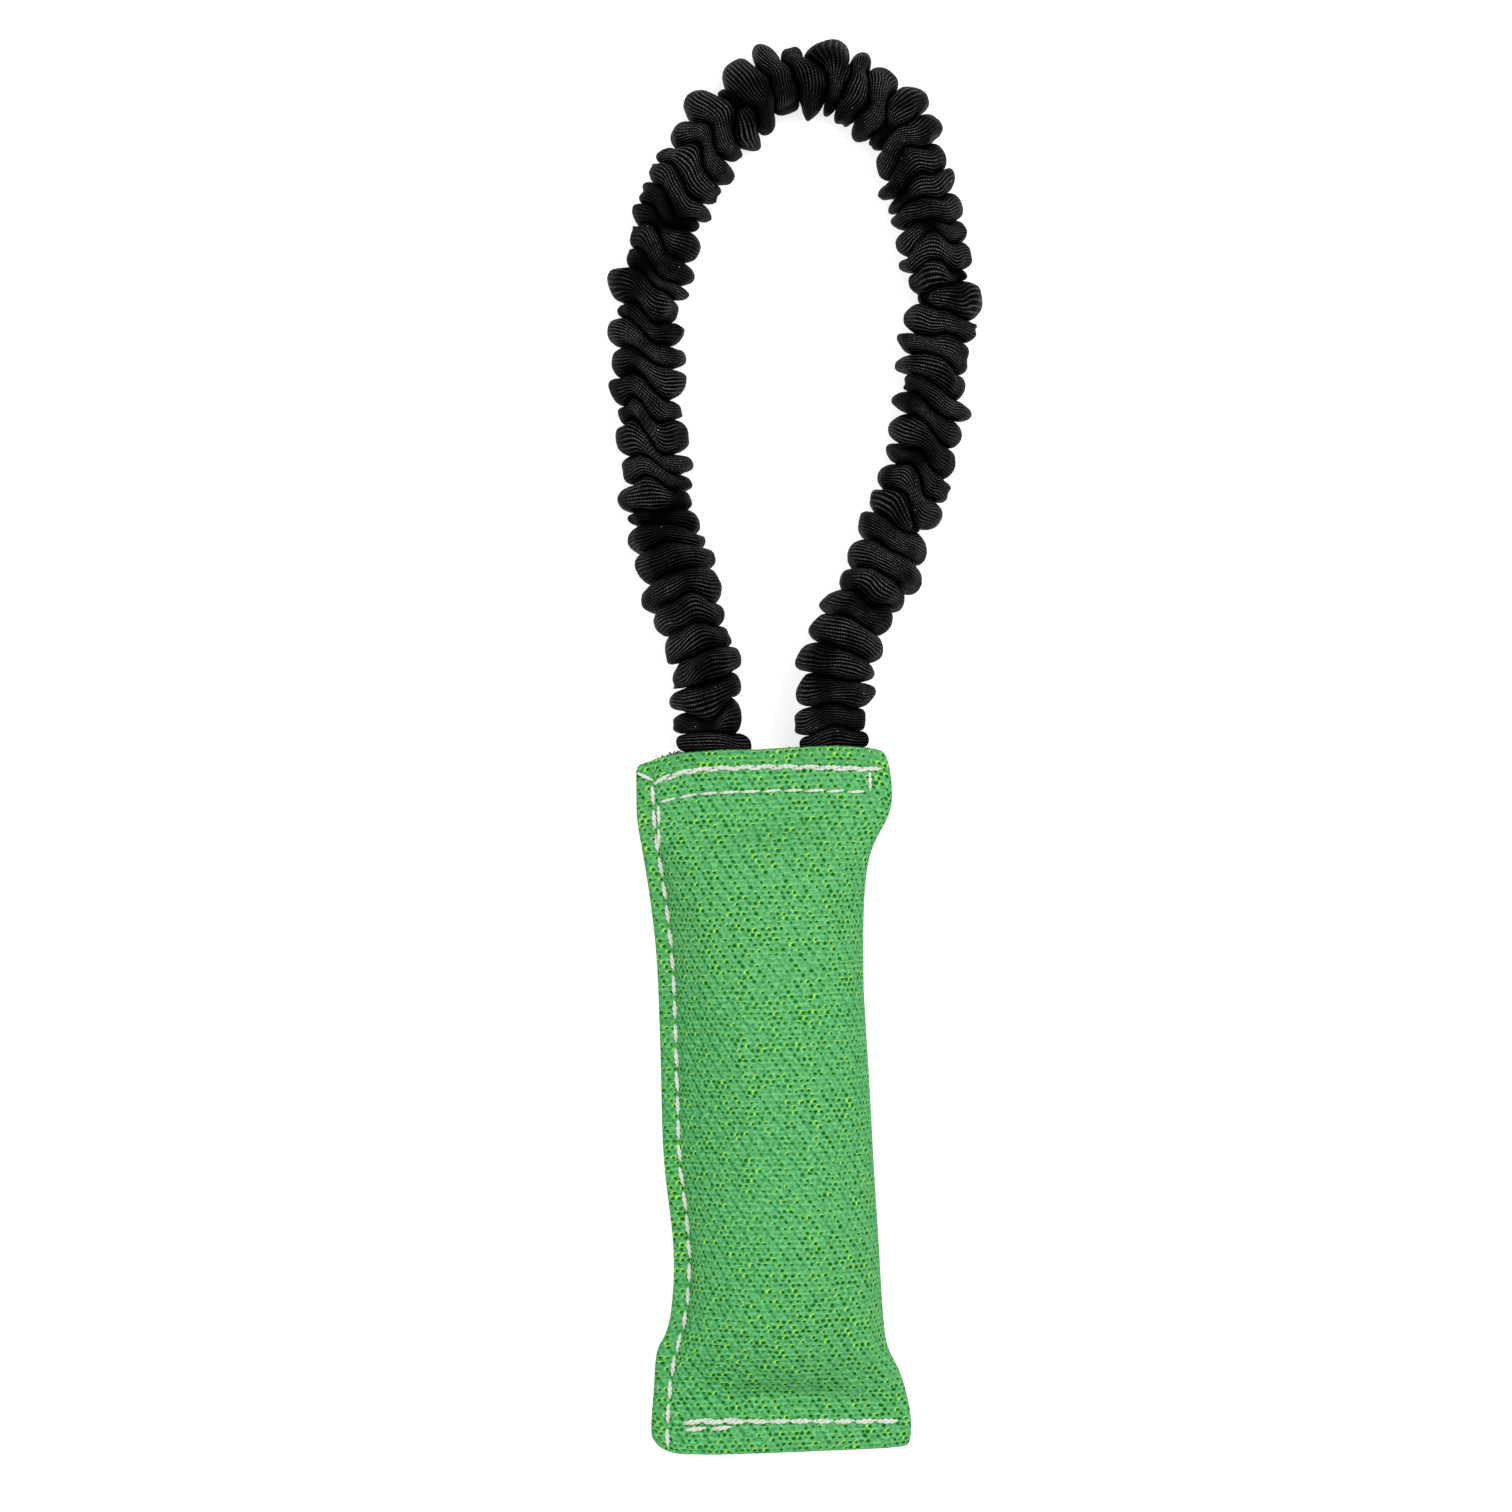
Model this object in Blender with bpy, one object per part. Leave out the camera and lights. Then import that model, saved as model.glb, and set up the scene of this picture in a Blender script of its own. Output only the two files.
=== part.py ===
"""Bungee tug toy: a stuffed cloth pad with a stretchy, cloth-sleeved loop sewn into its mouth.

The toy lies flat on its face. The origin is on the surface that it rests on, under the pad's
centre. +Y runs from the pad to the loop, +X to the pad's folded edge, +Z up.
"""

import math

import bmesh
import bpy
import numpy as np
from mathutils import Matrix, Vector

# The pad, as it is cut and sewn
pad_length = 0.200
flat_width = 0.0705
cloth_thickness = 0.0012
side_allowance = 0.0047
side_flange_thickness = 0.0036
end_allowance = 0.0088
end_flange_thickness = 0.0040
mouth_depth = 0.0138
mouth_thickness = 0.0100
edge_round = 0.0009
corner_round = 0.0034
seam_hold_length = 0.021
floor_cut = 0.0005

# The loop: an elastic cord in a gathered sleeve
core_diameter = 0.0100
sleeve_diameter = 0.0206
valley_diameter = 0.0150
ruffle_pitch = 0.0071
ridge_spread_share = 0.045
floor_press_share = 0.1
loop_reach = 0.1925
loop_width = 0.0868
left_leg_x = -0.0148
right_leg_x = 0.0202
straight_length = 0.0206
droop_end = 0.078
leg_end = 0.146
route_seed = 7

# The loop's ends, pressed flat in the mouth
tail_width = 0.0220
tail_thickness = 0.0056
flat_core_width = 0.0168
flat_core_thickness = 0.0028
round_end = 0.0118

# The joints, as distances along the loop from the mouth's edge
fold_axis_distance = 0.016
sway_axis_distance = 0.040

# The sewing thread
thread_diameter = 0.0009
stitch_length = 0.0067
row_gap = 0.0014
outer_row_inset = 0.0056
inner_row_inset = 0.0123
mouth_row_end_inset = 0.0040
backtack_length = 0.0150

# Places along one stitch and how thick the thread is there, as shares of both
stitch_shape_shares = ((0.08, 0.55), (0.36, 1), (0.78, 1))

# Clearance between pieces that touch, and how far a cutter runs past what it cuts
clearance = 0.0003
filling_room = 0.0006
overrun = 0.0010
stub = 0.0010

# How finely the curved pieces are cut into flats
around_pad = 20
around_tail = 16
around_flange = 8
side_seam_steps = 24
flat_end_steps = 5
bore_facets = 10
pad_step = 0.0100
core_step = 0.0142
samples_per_route_point = 12

# How square the rounded boxes are, from 2 for an oval
mouth_squareness = 3.5
flange_squareness = 5
tail_squareness = 2.6

# Places down the pad, as shares of its half length, and where the side seam and the folded edge
# lie there, as shares of the flat width
pad_outline_shares = (
    (1.00, -0.458, 0.496),
    (0.92, -0.458, 0.513),
    (0.82, -0.458, 0.501),
    (0.70, -0.435, 0.421),
    (0.57, -0.411, 0.391),
    (0.40, -0.391, 0.384),
    (0.15, -0.386, 0.387),
    (-0.15, -0.383, 0.401),
    (-0.42, -0.352, 0.426),
    (-0.60, -0.369, 0.441),
    (-0.70, -0.411, 0.458),
    (-0.80, -0.441, 0.508),
    (-0.91, -0.457, 0.533),
    (-1.00, -0.460, 0.532),
)

# The loop's route past its straight ends, as shares of the loop's width across and of its reach
# out from the mouth
route_shares = (
    (-0.226, 0.191),
    (-0.282, 0.263),
    (-0.318, 0.338),
    (-0.350, 0.429),
    (-0.364, 0.504),
    (-0.371, 0.582),
    (-0.366, 0.644),
    (-0.344, 0.706),
    (-0.302, 0.764),
    (-0.244, 0.826),
    (-0.182, 0.881),
    (-0.092, 0.932),
    (0.029, 0.974),
    (0.179, 0.998),
    (0.334, 0.982),
    (0.455, 0.940),
    (0.536, 0.873),
    (0.588, 0.805),
    (0.617, 0.727),
    (0.622, 0.649),
    (0.605, 0.571),
    (0.582, 0.499),
    (0.546, 0.431),
    (0.495, 0.366),
    (0.440, 0.312),
    (0.385, 0.257),
    (0.332, 0.205),
    (0.277, 0.156),
)

# What follows from them: where the pad's hollow, its filling and the loop's flat ends stop
half_length = pad_length / 2
weld_distance = clearance / 30
cavity_low = -half_length + end_allowance + seam_hold_length / 6
cavity_high = half_length - mouth_depth
filling_low = cavity_low + clearance
filling_high = cavity_high - clearance - overrun
tail_start = -mouth_depth + clearance
tail_end = fold_axis_distance - clearance / 2


def ease(share):
    """Rise smoothly from 0 to 1 as the share goes from 0 to 1."""
    share = min(1, max(0, share))
    return share * share * (3 - 2 * share)


def mix(first, second, share):
    return first + (second - first) * share


def catmull_rom(before, start, end, after, share):
    """The point at a share of the way from start to end on a smooth curve through all four."""
    return 0.5 * (
        2 * start
        + (end - before) * share
        + (2 * before - 5 * start + 4 * end - after) * share**2
        + (3 * start - before - 3 * end + after) * share**3
    )


def ellipse_perimeter(half_wide, half_thick):
    unlike = ((half_wide - half_thick) / (half_wide + half_thick)) ** 2
    return math.pi * (half_wide + half_thick) * (1 + 3 * unlike / (10 + math.sqrt(4 - 3 * unlike)))


def filled_half_thickness(half_wide):
    """Half the thickness at which two flat widths of cloth close round an oval this wide."""
    thin = 0
    thick = half_wide
    for _ in range(40):
        middle = (thin + thick) / 2
        if ellipse_perimeter(half_wide, middle) < 2 * flat_width:
            thin = middle
        else:
            thick = middle
    return middle


def outline_at(y):
    """The side seam's x and the folded edge's x at one place down the pad."""
    places = [share * half_length for share, _, _ in pad_outline_shares]
    first = 0
    while first < len(places) - 2 and y < places[first + 1]:
        first += 1
    share = (y - places[first]) / (places[first + 1] - places[first])
    rows = np.array(pad_outline_shares)[:, 1:] * flat_width
    before = rows[max(first - 1, 0)]
    after = rows[min(first + 2, len(rows) - 1)]
    seam_x, fold_x = catmull_rom(before, rows[first], rows[first + 1], after, share)
    return float(seam_x), float(fold_x)


def corner_pull(y):
    """How far a corner's rounding draws an edge in at one place down the pad."""
    from_end = half_length - abs(y)
    if from_end >= corner_round:
        return 0
    return corner_round - math.sqrt(corner_round**2 - (corner_round - from_end) ** 2)


def pad_section(y):
    """The pad's oval there: its centre x, half width, half thickness and squareness."""
    seam_x, fold_x = outline_at(y)
    fold_x -= corner_pull(y)
    seam_x += corner_pull(y) / 2
    half_wide = (fold_x - seam_x) / 2
    near_mouth = y > 0
    if near_mouth:
        hold = ease((half_length - mouth_depth - y) / seam_hold_length)
        sewn = mouth_thickness / 2
    else:
        hold = ease((half_length - end_allowance + y) / seam_hold_length)
        sewn = end_flange_thickness / 2
    half_thick = mix(sewn, filled_half_thickness(half_wide), hold)
    squareness = mix(mouth_squareness, 2, hold)
    return (seam_x + fold_x) / 2, half_wide, half_thick, squareness


belly_half_thickness = max(pad_section(half_length * share)[2] for share, _, _ in pad_outline_shares)
seam_height = belly_half_thickness - floor_cut


def oval_height(x, y):
    """How far the pad's face stands from the seam's plane."""
    centre_x, half_wide, half_thick, squareness = pad_section(y)
    across = min(1, abs(x - centre_x) / half_wide)
    height = half_thick * (1 - across**squareness) ** (1 / squareness)
    seam_x, _ = outline_at(y)
    if x < seam_x + side_allowance:
        height = max(height, side_flange_thickness / 2)
    return height


def oval_ring(centre, half_wide, half_thick, squareness, sides):
    """A ring of points on an oval across the Y axis, from a circle to a rounded box."""
    ring = []
    for number in range(sides):
        angle = 2 * math.pi * number / sides
        cosine = math.cos(angle)
        sine = math.sin(angle)
        x = math.copysign(abs(cosine) ** (2 / squareness), cosine) * half_wide
        z = math.copysign(abs(sine) ** (2 / squareness), sine) * half_thick
        ring.append(centre + Vector((x, 0, z)))
    return ring


def start_scene():
    for thing in list(bpy.data.objects):
        bpy.data.objects.remove(thing, do_unlink=True)
    made = []
    for name in ("bungee_tug_toy", "cutters"):
        collection = bpy.data.collections.get(name) or bpy.data.collections.new(name)
        if name not in bpy.context.scene.collection.children:
            bpy.context.scene.collection.children.link(collection)
        made.append(collection)
    return made


parts, cutters = start_scene()


def make_material(name, colour, roughness):
    material = bpy.data.materials.new(name)
    material.use_nodes = True
    shader = material.node_tree.nodes["Principled BSDF"]
    shader.inputs["Base Color"].default_value = (*colour, 1)
    shader.inputs["Roughness"].default_value = roughness
    shader.inputs["Metallic"].default_value = 0
    return material


cover_finish = make_material("green_cloth", (0.10, 0.46, 0.16), 0.75)
filling_finish = make_material("white_filling", (0.82, 0.81, 0.77), 0.95)
sleeve_finish = make_material("black_webbing", (0.012, 0.012, 0.014), 0.7)
core_finish = make_material("elastic_cord", (0.05, 0.05, 0.055), 0.6)
thread_finish = make_material("white_thread", (0.78, 0.78, 0.72), 0.6)


def add_object(name, data, finish):
    thing = bpy.data.objects.new(name, data)
    parts.objects.link(thing)
    data.materials.clear()
    data.materials.append(finish)
    return thing


def loft(name, rings):
    """A closed mesh through rings of equally many points, its quads all split the same way."""
    mesh = bpy.data.meshes.new(name)
    shape = bmesh.new()
    corners = [[shape.verts.new(point) for point in ring] for ring in rings]
    sides = len(rings[0])
    for ring, following in zip(corners, corners[1:]):
        for number in range(sides):
            beside = (number + 1) % sides
            shape.faces.new((ring[number], ring[beside], following[beside]))
            shape.faces.new((ring[number], following[beside], following[number]))
    shape.faces.new(corners[0])
    shape.faces.new(corners[-1])
    bmesh.ops.recalc_face_normals(shape, faces=shape.faces)
    shape.to_mesh(mesh)
    shape.free()
    return mesh


def as_cutter(thing):
    for collection in list(thing.users_collection):
        collection.objects.unlink(thing)
    cutters.objects.link(thing)
    thing.hide_render = True
    thing.display_type = "WIRE"
    return thing


def boolean(thing, other, operation):
    modifier = thing.modifiers.new(other.name, "BOOLEAN")
    modifier.operation = operation
    modifier.solver = "EXACT"
    modifier.object = other


def shade(mesh):
    mesh.shade_smooth()
    mesh.set_sharp_from_angle(angle=math.radians(50))


def floor_cutter(name, low, high):
    """A slab under the surface that the toy rests on, which cuts its underside flat."""
    shape = bmesh.new()
    size = Vector(high) - Vector(low)
    middle = (Vector(high) + Vector(low)) / 2
    place = Matrix.Translation(middle) @ Matrix.Diagonal((*size, 1))
    bmesh.ops.create_cube(shape, size=1, matrix=place)
    mesh = bpy.data.meshes.new(name)
    shape.to_mesh(mesh)
    shape.free()
    return as_cutter(add_object(name, mesh, sleeve_finish))


def pad_places(low, high):
    """Places down the pad from low to high, the same ones for every shell of it."""
    count = math.ceil(pad_length / pad_step)
    places = [mix(-half_length, half_length, number / count) for number in range(1, count)]
    ends = [cavity_low, filling_low, filling_high, cavity_high]
    for end in (-1, 1):
        ends += [end * (half_length - drawn_in) for drawn_in in (0, edge_round, corner_round / 2)]
    places = [y for y in places if min(abs(y - end) for end in ends) > stub]
    return sorted(y for y in places + ends if low <= y <= high)


def pad_loft(name, low, high, inset):
    """The pad's rounded form between two places, drawn in all round by an inset."""
    rings = []
    for y in pad_places(low, high):
        centre_x, half_wide, half_thick, squareness = pad_section(y)
        shrink = inset
        if abs(y) >= half_length:
            shrink += edge_round
        centre = Vector((centre_x, y, seam_height))
        rings.append(
            oval_ring(centre, half_wide - shrink, half_thick - shrink, squareness, around_pad)
        )
    return loft(name, rings)


def side_flange_loft(name):
    """The strip outside the side seam, where the turned-in edges of both faces are sewn flat."""
    rings = []
    high = half_length - corner_round / 2
    places = pad_places(-high, high)
    for y in places:
        seam_x, _ = outline_at(y)
        outer_x = seam_x - side_allowance + corner_pull(y)
        inner_x = seam_x + side_allowance
        half_thick = side_flange_thickness / 2
        if y in (places[0], places[-1]):
            half_thick -= edge_round
        centre = Vector(((outer_x + inner_x) / 2, y, seam_height))
        half_wide = (inner_x - outer_x) / 2
        rings.append(oval_ring(centre, half_wide, half_thick, flange_squareness, around_flange))
    return loft(name, rings)


def build_cover():
    """One cloth folded along its right edge, sewn at the side and the end, with an open mouth."""
    cover = add_object("cover", pad_loft("cover", -half_length, half_length, 0), cover_finish)
    flange = as_cutter(add_object("side_flange", side_flange_loft("side_flange"), cover_finish))
    cavity_mesh = pad_loft("cavity", cavity_low, cavity_high, cloth_thickness)
    cavity = as_cutter(add_object("cavity", cavity_mesh, cover_finish))
    boolean(cover, flange, "UNION")
    boolean(cover, cavity, "DIFFERENCE")
    for side, leg_x in (("left", left_leg_x), ("right", right_leg_x)):
        rings = []
        for y in (cavity_high - overrun, half_length + overrun):
            centre = Vector((leg_x, y, seam_height))
            wide = tail_width / 2 + clearance
            thick = tail_thickness / 2 + clearance
            rings.append(oval_ring(centre, wide, thick, tail_squareness, around_tail))
        name = f"{side}_pocket"
        boolean(cover, as_cutter(add_object(name, loft(name, rings), cover_finish)), "DIFFERENCE")
    low = (-flat_width, -pad_length, -2 * floor_cut)
    high = (flat_width, pad_length, 0)
    boolean(cover, floor_cutter("floor_under_pad", low, high), "DIFFERENCE")
    shade(cover.data)


def build_filling():
    inset = cloth_thickness + filling_room
    form = pad_loft("filling", filling_low, filling_high, inset)
    filling = add_object("filling", form, filling_finish)
    shade(filling.data)


def flat_to_round(distance):
    """0 where a loop end is pressed flat in the mouth, and 1 where it is round again."""
    return ease(distance / round_end)


def tail_rings(leg_x, places, flat_wide, flat_thick, round_diameters):
    """Rings of a loop end from flat to round, each with its own round diameter."""
    rings = []
    for distance, diameter in zip(places, round_diameters):
        share = flat_to_round(distance)
        wide = mix(flat_wide, diameter, share) / 2
        thick = mix(flat_thick, diameter, share) / 2
        squareness = mix(tail_squareness, 2, share)
        centre = Vector((leg_x, half_length + distance, seam_height))
        rings.append(oval_ring(centre, wide, thick, squareness, around_tail))
    return rings


def build_tail(side, leg_x):
    """One end of the loop: the sleeve and the cord pressed flat between the mouth's two faces."""
    ruffles = math.ceil(fold_axis_distance / ruffle_pitch)
    half_pitch = fold_axis_distance / ruffles / 2
    places = [tail_start, -half_pitch / 2]
    diameters = [valley_diameter, valley_diameter]
    for number in range(2 * ruffles):
        places.append(half_pitch * number + half_pitch / 4)
        diameters.append(sleeve_diameter if number % 2 else valley_diameter)
    places.append(tail_end)
    diameters.append(valley_diameter)
    outer = tail_rings(leg_x, places, tail_width, tail_thickness, diameters)
    sleeve = add_object(f"sleeve_{side}_tail", loft(f"sleeve_{side}_tail", outer), sleeve_finish)

    core_places = [tail_start, 0]
    core_places += [round_end * (step + 1) / flat_end_steps for step in range(flat_end_steps)]
    core_places.append(tail_end)
    cores = [core_diameter] * len(core_places)
    core_rings = tail_rings(leg_x, core_places, flat_core_width, flat_core_thickness, cores)
    core = add_object(f"core_{side}_tail", loft(f"core_{side}_tail", core_rings), core_finish)

    bore_places = [tail_start - overrun, *core_places[1:-1], tail_end + overrun]
    room = 2 * clearance
    bores = [core_diameter + room] * len(bore_places)
    flat_wide = flat_core_width + room
    flat_thick = flat_core_thickness + room
    bore_mesh = loft(f"{side}_tail_bore", tail_rings(leg_x, bore_places, flat_wide, flat_thick, bores))
    bore = as_cutter(add_object(f"{side}_tail_bore", bore_mesh, sleeve_finish))
    boolean(sleeve, bore, "DIFFERENCE")
    shade(sleeve.data)
    shade(core.data)


class Route:
    """The loop's centreline, by distance from the left end of the mouth."""

    def __init__(self):
        knots = [(left_leg_x, 0), (left_leg_x, straight_length / 2), (left_leg_x, straight_length)]
        knots += [(across * loop_width, out * loop_reach) for across, out in route_shares]
        knots += [(right_leg_x, straight_length), (right_leg_x, straight_length / 2), (right_leg_x, 0)]
        knots = [np.array(knot) for knot in knots]
        first = 2 * knots[0] - knots[1]
        last = 2 * knots[-1] - knots[-2]
        knots = [first, *knots, last]
        flat = []
        for number in range(1, len(knots) - 2):
            four = knots[number - 1 : number + 3]
            for step in range(samples_per_route_point):
                flat.append(catmull_rom(*four, step / samples_per_route_point))
        flat.append(knots[-2])
        self.flat = np.array(flat)
        runs = np.linalg.norm(np.diff(self.flat, axis=0), axis=1)
        self.places = np.concatenate([[0], np.cumsum(runs)])
        self.length = float(self.places[-1])

    def height(self, distance):
        """The loop leaves the mouth at the seam's height and sinks to the floor."""
        from_end = min(distance, self.length - distance)
        lying = sleeve_diameter * (0.5 - floor_press_share)
        sunk = ease((from_end - straight_length) / (droop_end - straight_length))
        return mix(seam_height, lying, sunk)

    def point(self, distance):
        x = np.interp(distance, self.places, self.flat[:, 0])
        y = np.interp(distance, self.places, self.flat[:, 1])
        return Vector((x, half_length + y, self.height(distance)))

    def direction(self, distance):
        ahead = self.point(min(distance + stub, self.length))
        behind = self.point(max(distance - stub, 0))
        return (ahead - behind).normalized()


route = Route()


def tube(name, points, diameter, shares, resolution, finish):
    """A tube with filled ends along points, each with its own share of the diameter."""
    curve = bpy.data.curves.new(name, "CURVE")
    curve.dimensions = "3D"
    curve.bevel_depth = diameter / 2
    curve.bevel_resolution = resolution
    curve.use_fill_caps = True
    spline = curve.splines.new("POLY")
    spline.points.add(len(points) - 1)
    for point, place, share in zip(spline.points, points, shares):
        point.co = (*place, 1)
        point.radius = share
    return add_object(name, curve, finish)


def curve_to_mesh(thing):
    """Turn a tube into a mesh with its end caps welded on, under the same name."""
    bpy.context.view_layer.update()
    mesh = bpy.data.meshes.new_from_object(thing.evaluated_get(bpy.context.evaluated_depsgraph_get()))
    shape = bmesh.new()
    shape.from_mesh(mesh)
    bmesh.ops.remove_doubles(shape, verts=shape.verts, dist=weld_distance)
    bmesh.ops.recalc_face_normals(shape, faces=shape.faces)
    shape.to_mesh(mesh)
    shape.free()
    name = thing.name
    finish = thing.data.materials[0]
    place = thing.matrix_world.copy()
    bpy.data.objects.remove(thing, do_unlink=True)
    made = add_object(name, mesh, finish)
    made.matrix_world = place
    return made


def square_ended(start, end, inner, past):
    """Points of a run of the loop whose end faces stand square to it, the ends moved past by past."""
    points = [route.point(start) - route.direction(start) * past]
    points.append(route.point(start) + route.direction(start) * stub)
    points += [route.point(distance) for distance in inner]
    points.append(route.point(end) - route.direction(end) * stub)
    points.append(route.point(end) + route.direction(end) * past)
    return points


def build_run(part, start, end):
    """One run of the loop: the ruffled sleeve with its bore, and the cord that lies in it."""
    ruffles = round((end - start) / ruffle_pitch)
    pitch = (end - start) / ruffles
    spread = np.random.RandomState(route_seed + ruffles)
    inner = []
    shares = [valley_diameter / sleeve_diameter] * 2
    for number in range(ruffles):
        inner.append(start + pitch * (number + 0.5))
        shares.append(1 - ridge_spread_share * (1 + spread.uniform(-1, 1)))
        if number < ruffles - 1:
            inner.append(start + pitch * (number + 1))
            shares.append(valley_diameter / sleeve_diameter)
    shares += [valley_diameter / sleeve_diameter] * 2
    points = square_ended(start, end, inner, 0)
    sleeve = curve_to_mesh(tube(f"sleeve_{part}", points, sleeve_diameter, shares, 2, sleeve_finish))

    count = math.ceil((end - start) / core_step)
    steps = [mix(start, end, number / count) for number in range(1, count)]
    core_points = square_ended(start, end, steps, 0)
    plain = [1] * len(core_points)
    core = curve_to_mesh(tube(f"core_{part}", core_points, core_diameter, plain, 3, core_finish))
    bore_diameter = (core_diameter + 2 * clearance) / math.cos(math.pi / bore_facets)
    bore_points = square_ended(start, end, steps, overrun)
    bore = tube(f"{part}_bore", bore_points, bore_diameter, plain, 3, sleeve_finish)
    boolean(sleeve, as_cutter(curve_to_mesh(bore)), "DIFFERENCE")
    shade(sleeve.data)
    shade(core.data)
    return [sleeve, core]


def lay_on_floor(sleeve, number):
    """Cut a sleeve's underside flat where it lies on the floor."""
    reach = loop_width + sleeve_diameter
    low = (-reach, half_length, -sleeve_diameter)
    high = (reach, half_length + loop_reach + sleeve_diameter, 0)
    boolean(sleeve, floor_cutter(f"floor_under_loop_{number}", low, high), "DIFFERENCE")


def build_thread(name, places, face):
    """One thread of a seam: a bead for each stitch, drawn in where it enters the cloth."""
    runs = [math.dist(first, second) for first, second in zip(places, places[1:])]
    ends = np.concatenate([[0], np.cumsum(runs)])
    stitches = max(1, round(ends[-1] / stitch_length))
    points = []
    shares = []
    for number in range(stitches):
        for within_share, share in stitch_shape_shares:
            distance = ends[-1] * (number + within_share) / stitches
            x = float(np.interp(distance, ends, [place[0] for place in places]))
            y = float(np.interp(distance, ends, [place[1] for place in places]))
            lift = oval_height(x, y) + clearance + thread_diameter / 2
            points.append(Vector((x, y, seam_height + face * lift)))
            shares.append(share)
    thread = curve_to_mesh(tube(name, points, thread_diameter, shares, 1, thread_finish))
    shade(thread.data)
    return thread


def seam_line(y):
    """The x of the side seam's stitches, just off the swelling of the pad."""
    return outline_at(y)[0] - thread_diameter / 2 - 2 * clearance


def side_seam_places():
    top = half_length - outer_row_inset - row_gap
    low = -half_length + corner_round
    start = top - backtack_length
    places = [(seam_line(start) - row_gap, start), (seam_line(top) - row_gap, top)]
    for step in range(side_seam_steps + 1):
        y = mix(top, low, step / side_seam_steps)
        places.append((seam_line(y), y))
    return places


def end_seam_places():
    y = -half_length + end_allowance - thread_diameter / 2 - 2 * clearance
    seam_x, fold_x = outline_at(y)
    left = seam_x + mouth_row_end_inset
    right = fold_x - mouth_row_end_inset
    return [(left + backtack_length, y - row_gap), (left, y - row_gap), (left, y), (right, y)]


def mouth_seam_places():
    outer_y = half_length - outer_row_inset
    inner_y = half_length - inner_row_inset
    outer_left = outline_at(outer_y)[0] + mouth_row_end_inset / 2
    inner_left = outline_at(inner_y)[0] + mouth_row_end_inset / 2
    right = outline_at(outer_y)[1] - 1.5 * mouth_row_end_inset
    rise = edge_round
    middle = (inner_left + right) / 2
    return [
        (inner_left, inner_y - rise),
        (middle, inner_y),
        (right, inner_y),
        (right, outer_y),
        (middle, outer_y + rise / 2),
        (outer_left, outer_y - rise / 2),
    ]


def axis_empty(name, place, above):
    """An empty on a joint's axis, which the pieces that the joint moves are parented to."""
    empty = bpy.data.objects.new(name, None)
    empty.empty_display_size = sleeve_diameter
    parts.objects.link(empty)
    empty.location = place
    if above:
        empty.parent = above
        empty.location = Vector(place) - axis_places[above.name]
    axis_places[name] = Vector(place)
    return empty


axis_places = {}


def hang_on(things, empty):
    """Give pieces their origin on a joint's axis, by parenting them to its empty."""
    for thing in things:
        thing.data.transform(Matrix.Translation(-axis_places[empty.name]))
        thing.parent = empty


build_cover()
build_filling()
for tail_side, tail_x in (("left", left_leg_x), ("right", right_leg_x)):
    build_tail(tail_side, tail_x)

gap = clearance / 2
far = route.length
base_runs = build_run("left_base", fold_axis_distance + gap, sway_axis_distance - gap)
base_runs += build_run("right_base", far - sway_axis_distance + gap, far - fold_axis_distance - gap)
leg_runs = build_run("left_leg", sway_axis_distance + gap, leg_end - gap)
leg_runs += build_run("right_leg", far - leg_end + gap, far - sway_axis_distance - gap)
grip_run = build_run("grip", leg_end + gap, far - leg_end - gap)
for cut_number, lying_sleeve in enumerate((leg_runs[0], leg_runs[2], grip_run[0])):
    lay_on_floor(lying_sleeve, cut_number)

for face_name, face_sign in (("front", 1), ("back", -1)):
    build_thread(f"side_seam_thread_{face_name}", side_seam_places(), face_sign)
    build_thread(f"end_seam_thread_{face_name}", end_seam_places(), face_sign)
    build_thread(f"mouth_seam_thread_{face_name}", mouth_seam_places(), face_sign)

legs_middle = (left_leg_x + right_leg_x) / 2
fold_place = (legs_middle, half_length + fold_axis_distance, seam_height)
sway_place = (legs_middle, half_length + sway_axis_distance, route.height(sway_axis_distance))
pull_place = route.point(far / 2)
fold_axis = axis_empty("handle_fold_axis", fold_place, None)
sway_axis = axis_empty("handle_sway_axis", sway_place, fold_axis)
pull_axis = axis_empty("bungee_stretch_axis", pull_place, sway_axis)
hang_on(base_runs, fold_axis)
hang_on(leg_runs, sway_axis)
hang_on(grip_run, pull_axis)

print(f"loop length along its middle {route.length * 1000:.1f} mm")
print(f"pad thickness {(2 * belly_half_thickness - floor_cut) * 1000:.1f} mm")
print(f"seam height {seam_height * 1000:.2f} mm")
for label, empty_place in (("fold", fold_place), ("sway", sway_place), ("pull", tuple(pull_place))):
    print(label, "axis at", ", ".join(f"{value:.5f}" for value in empty_place))
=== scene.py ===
"""The looks of a bungee tug toy: a stuffed pad of green cloth with a ruffled black loop."""

import math

import bmesh
import bpy
import numpy as np
from mathutils import Matrix, Vector, noise
from mathutils.bvhtree import BVHTree


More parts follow.
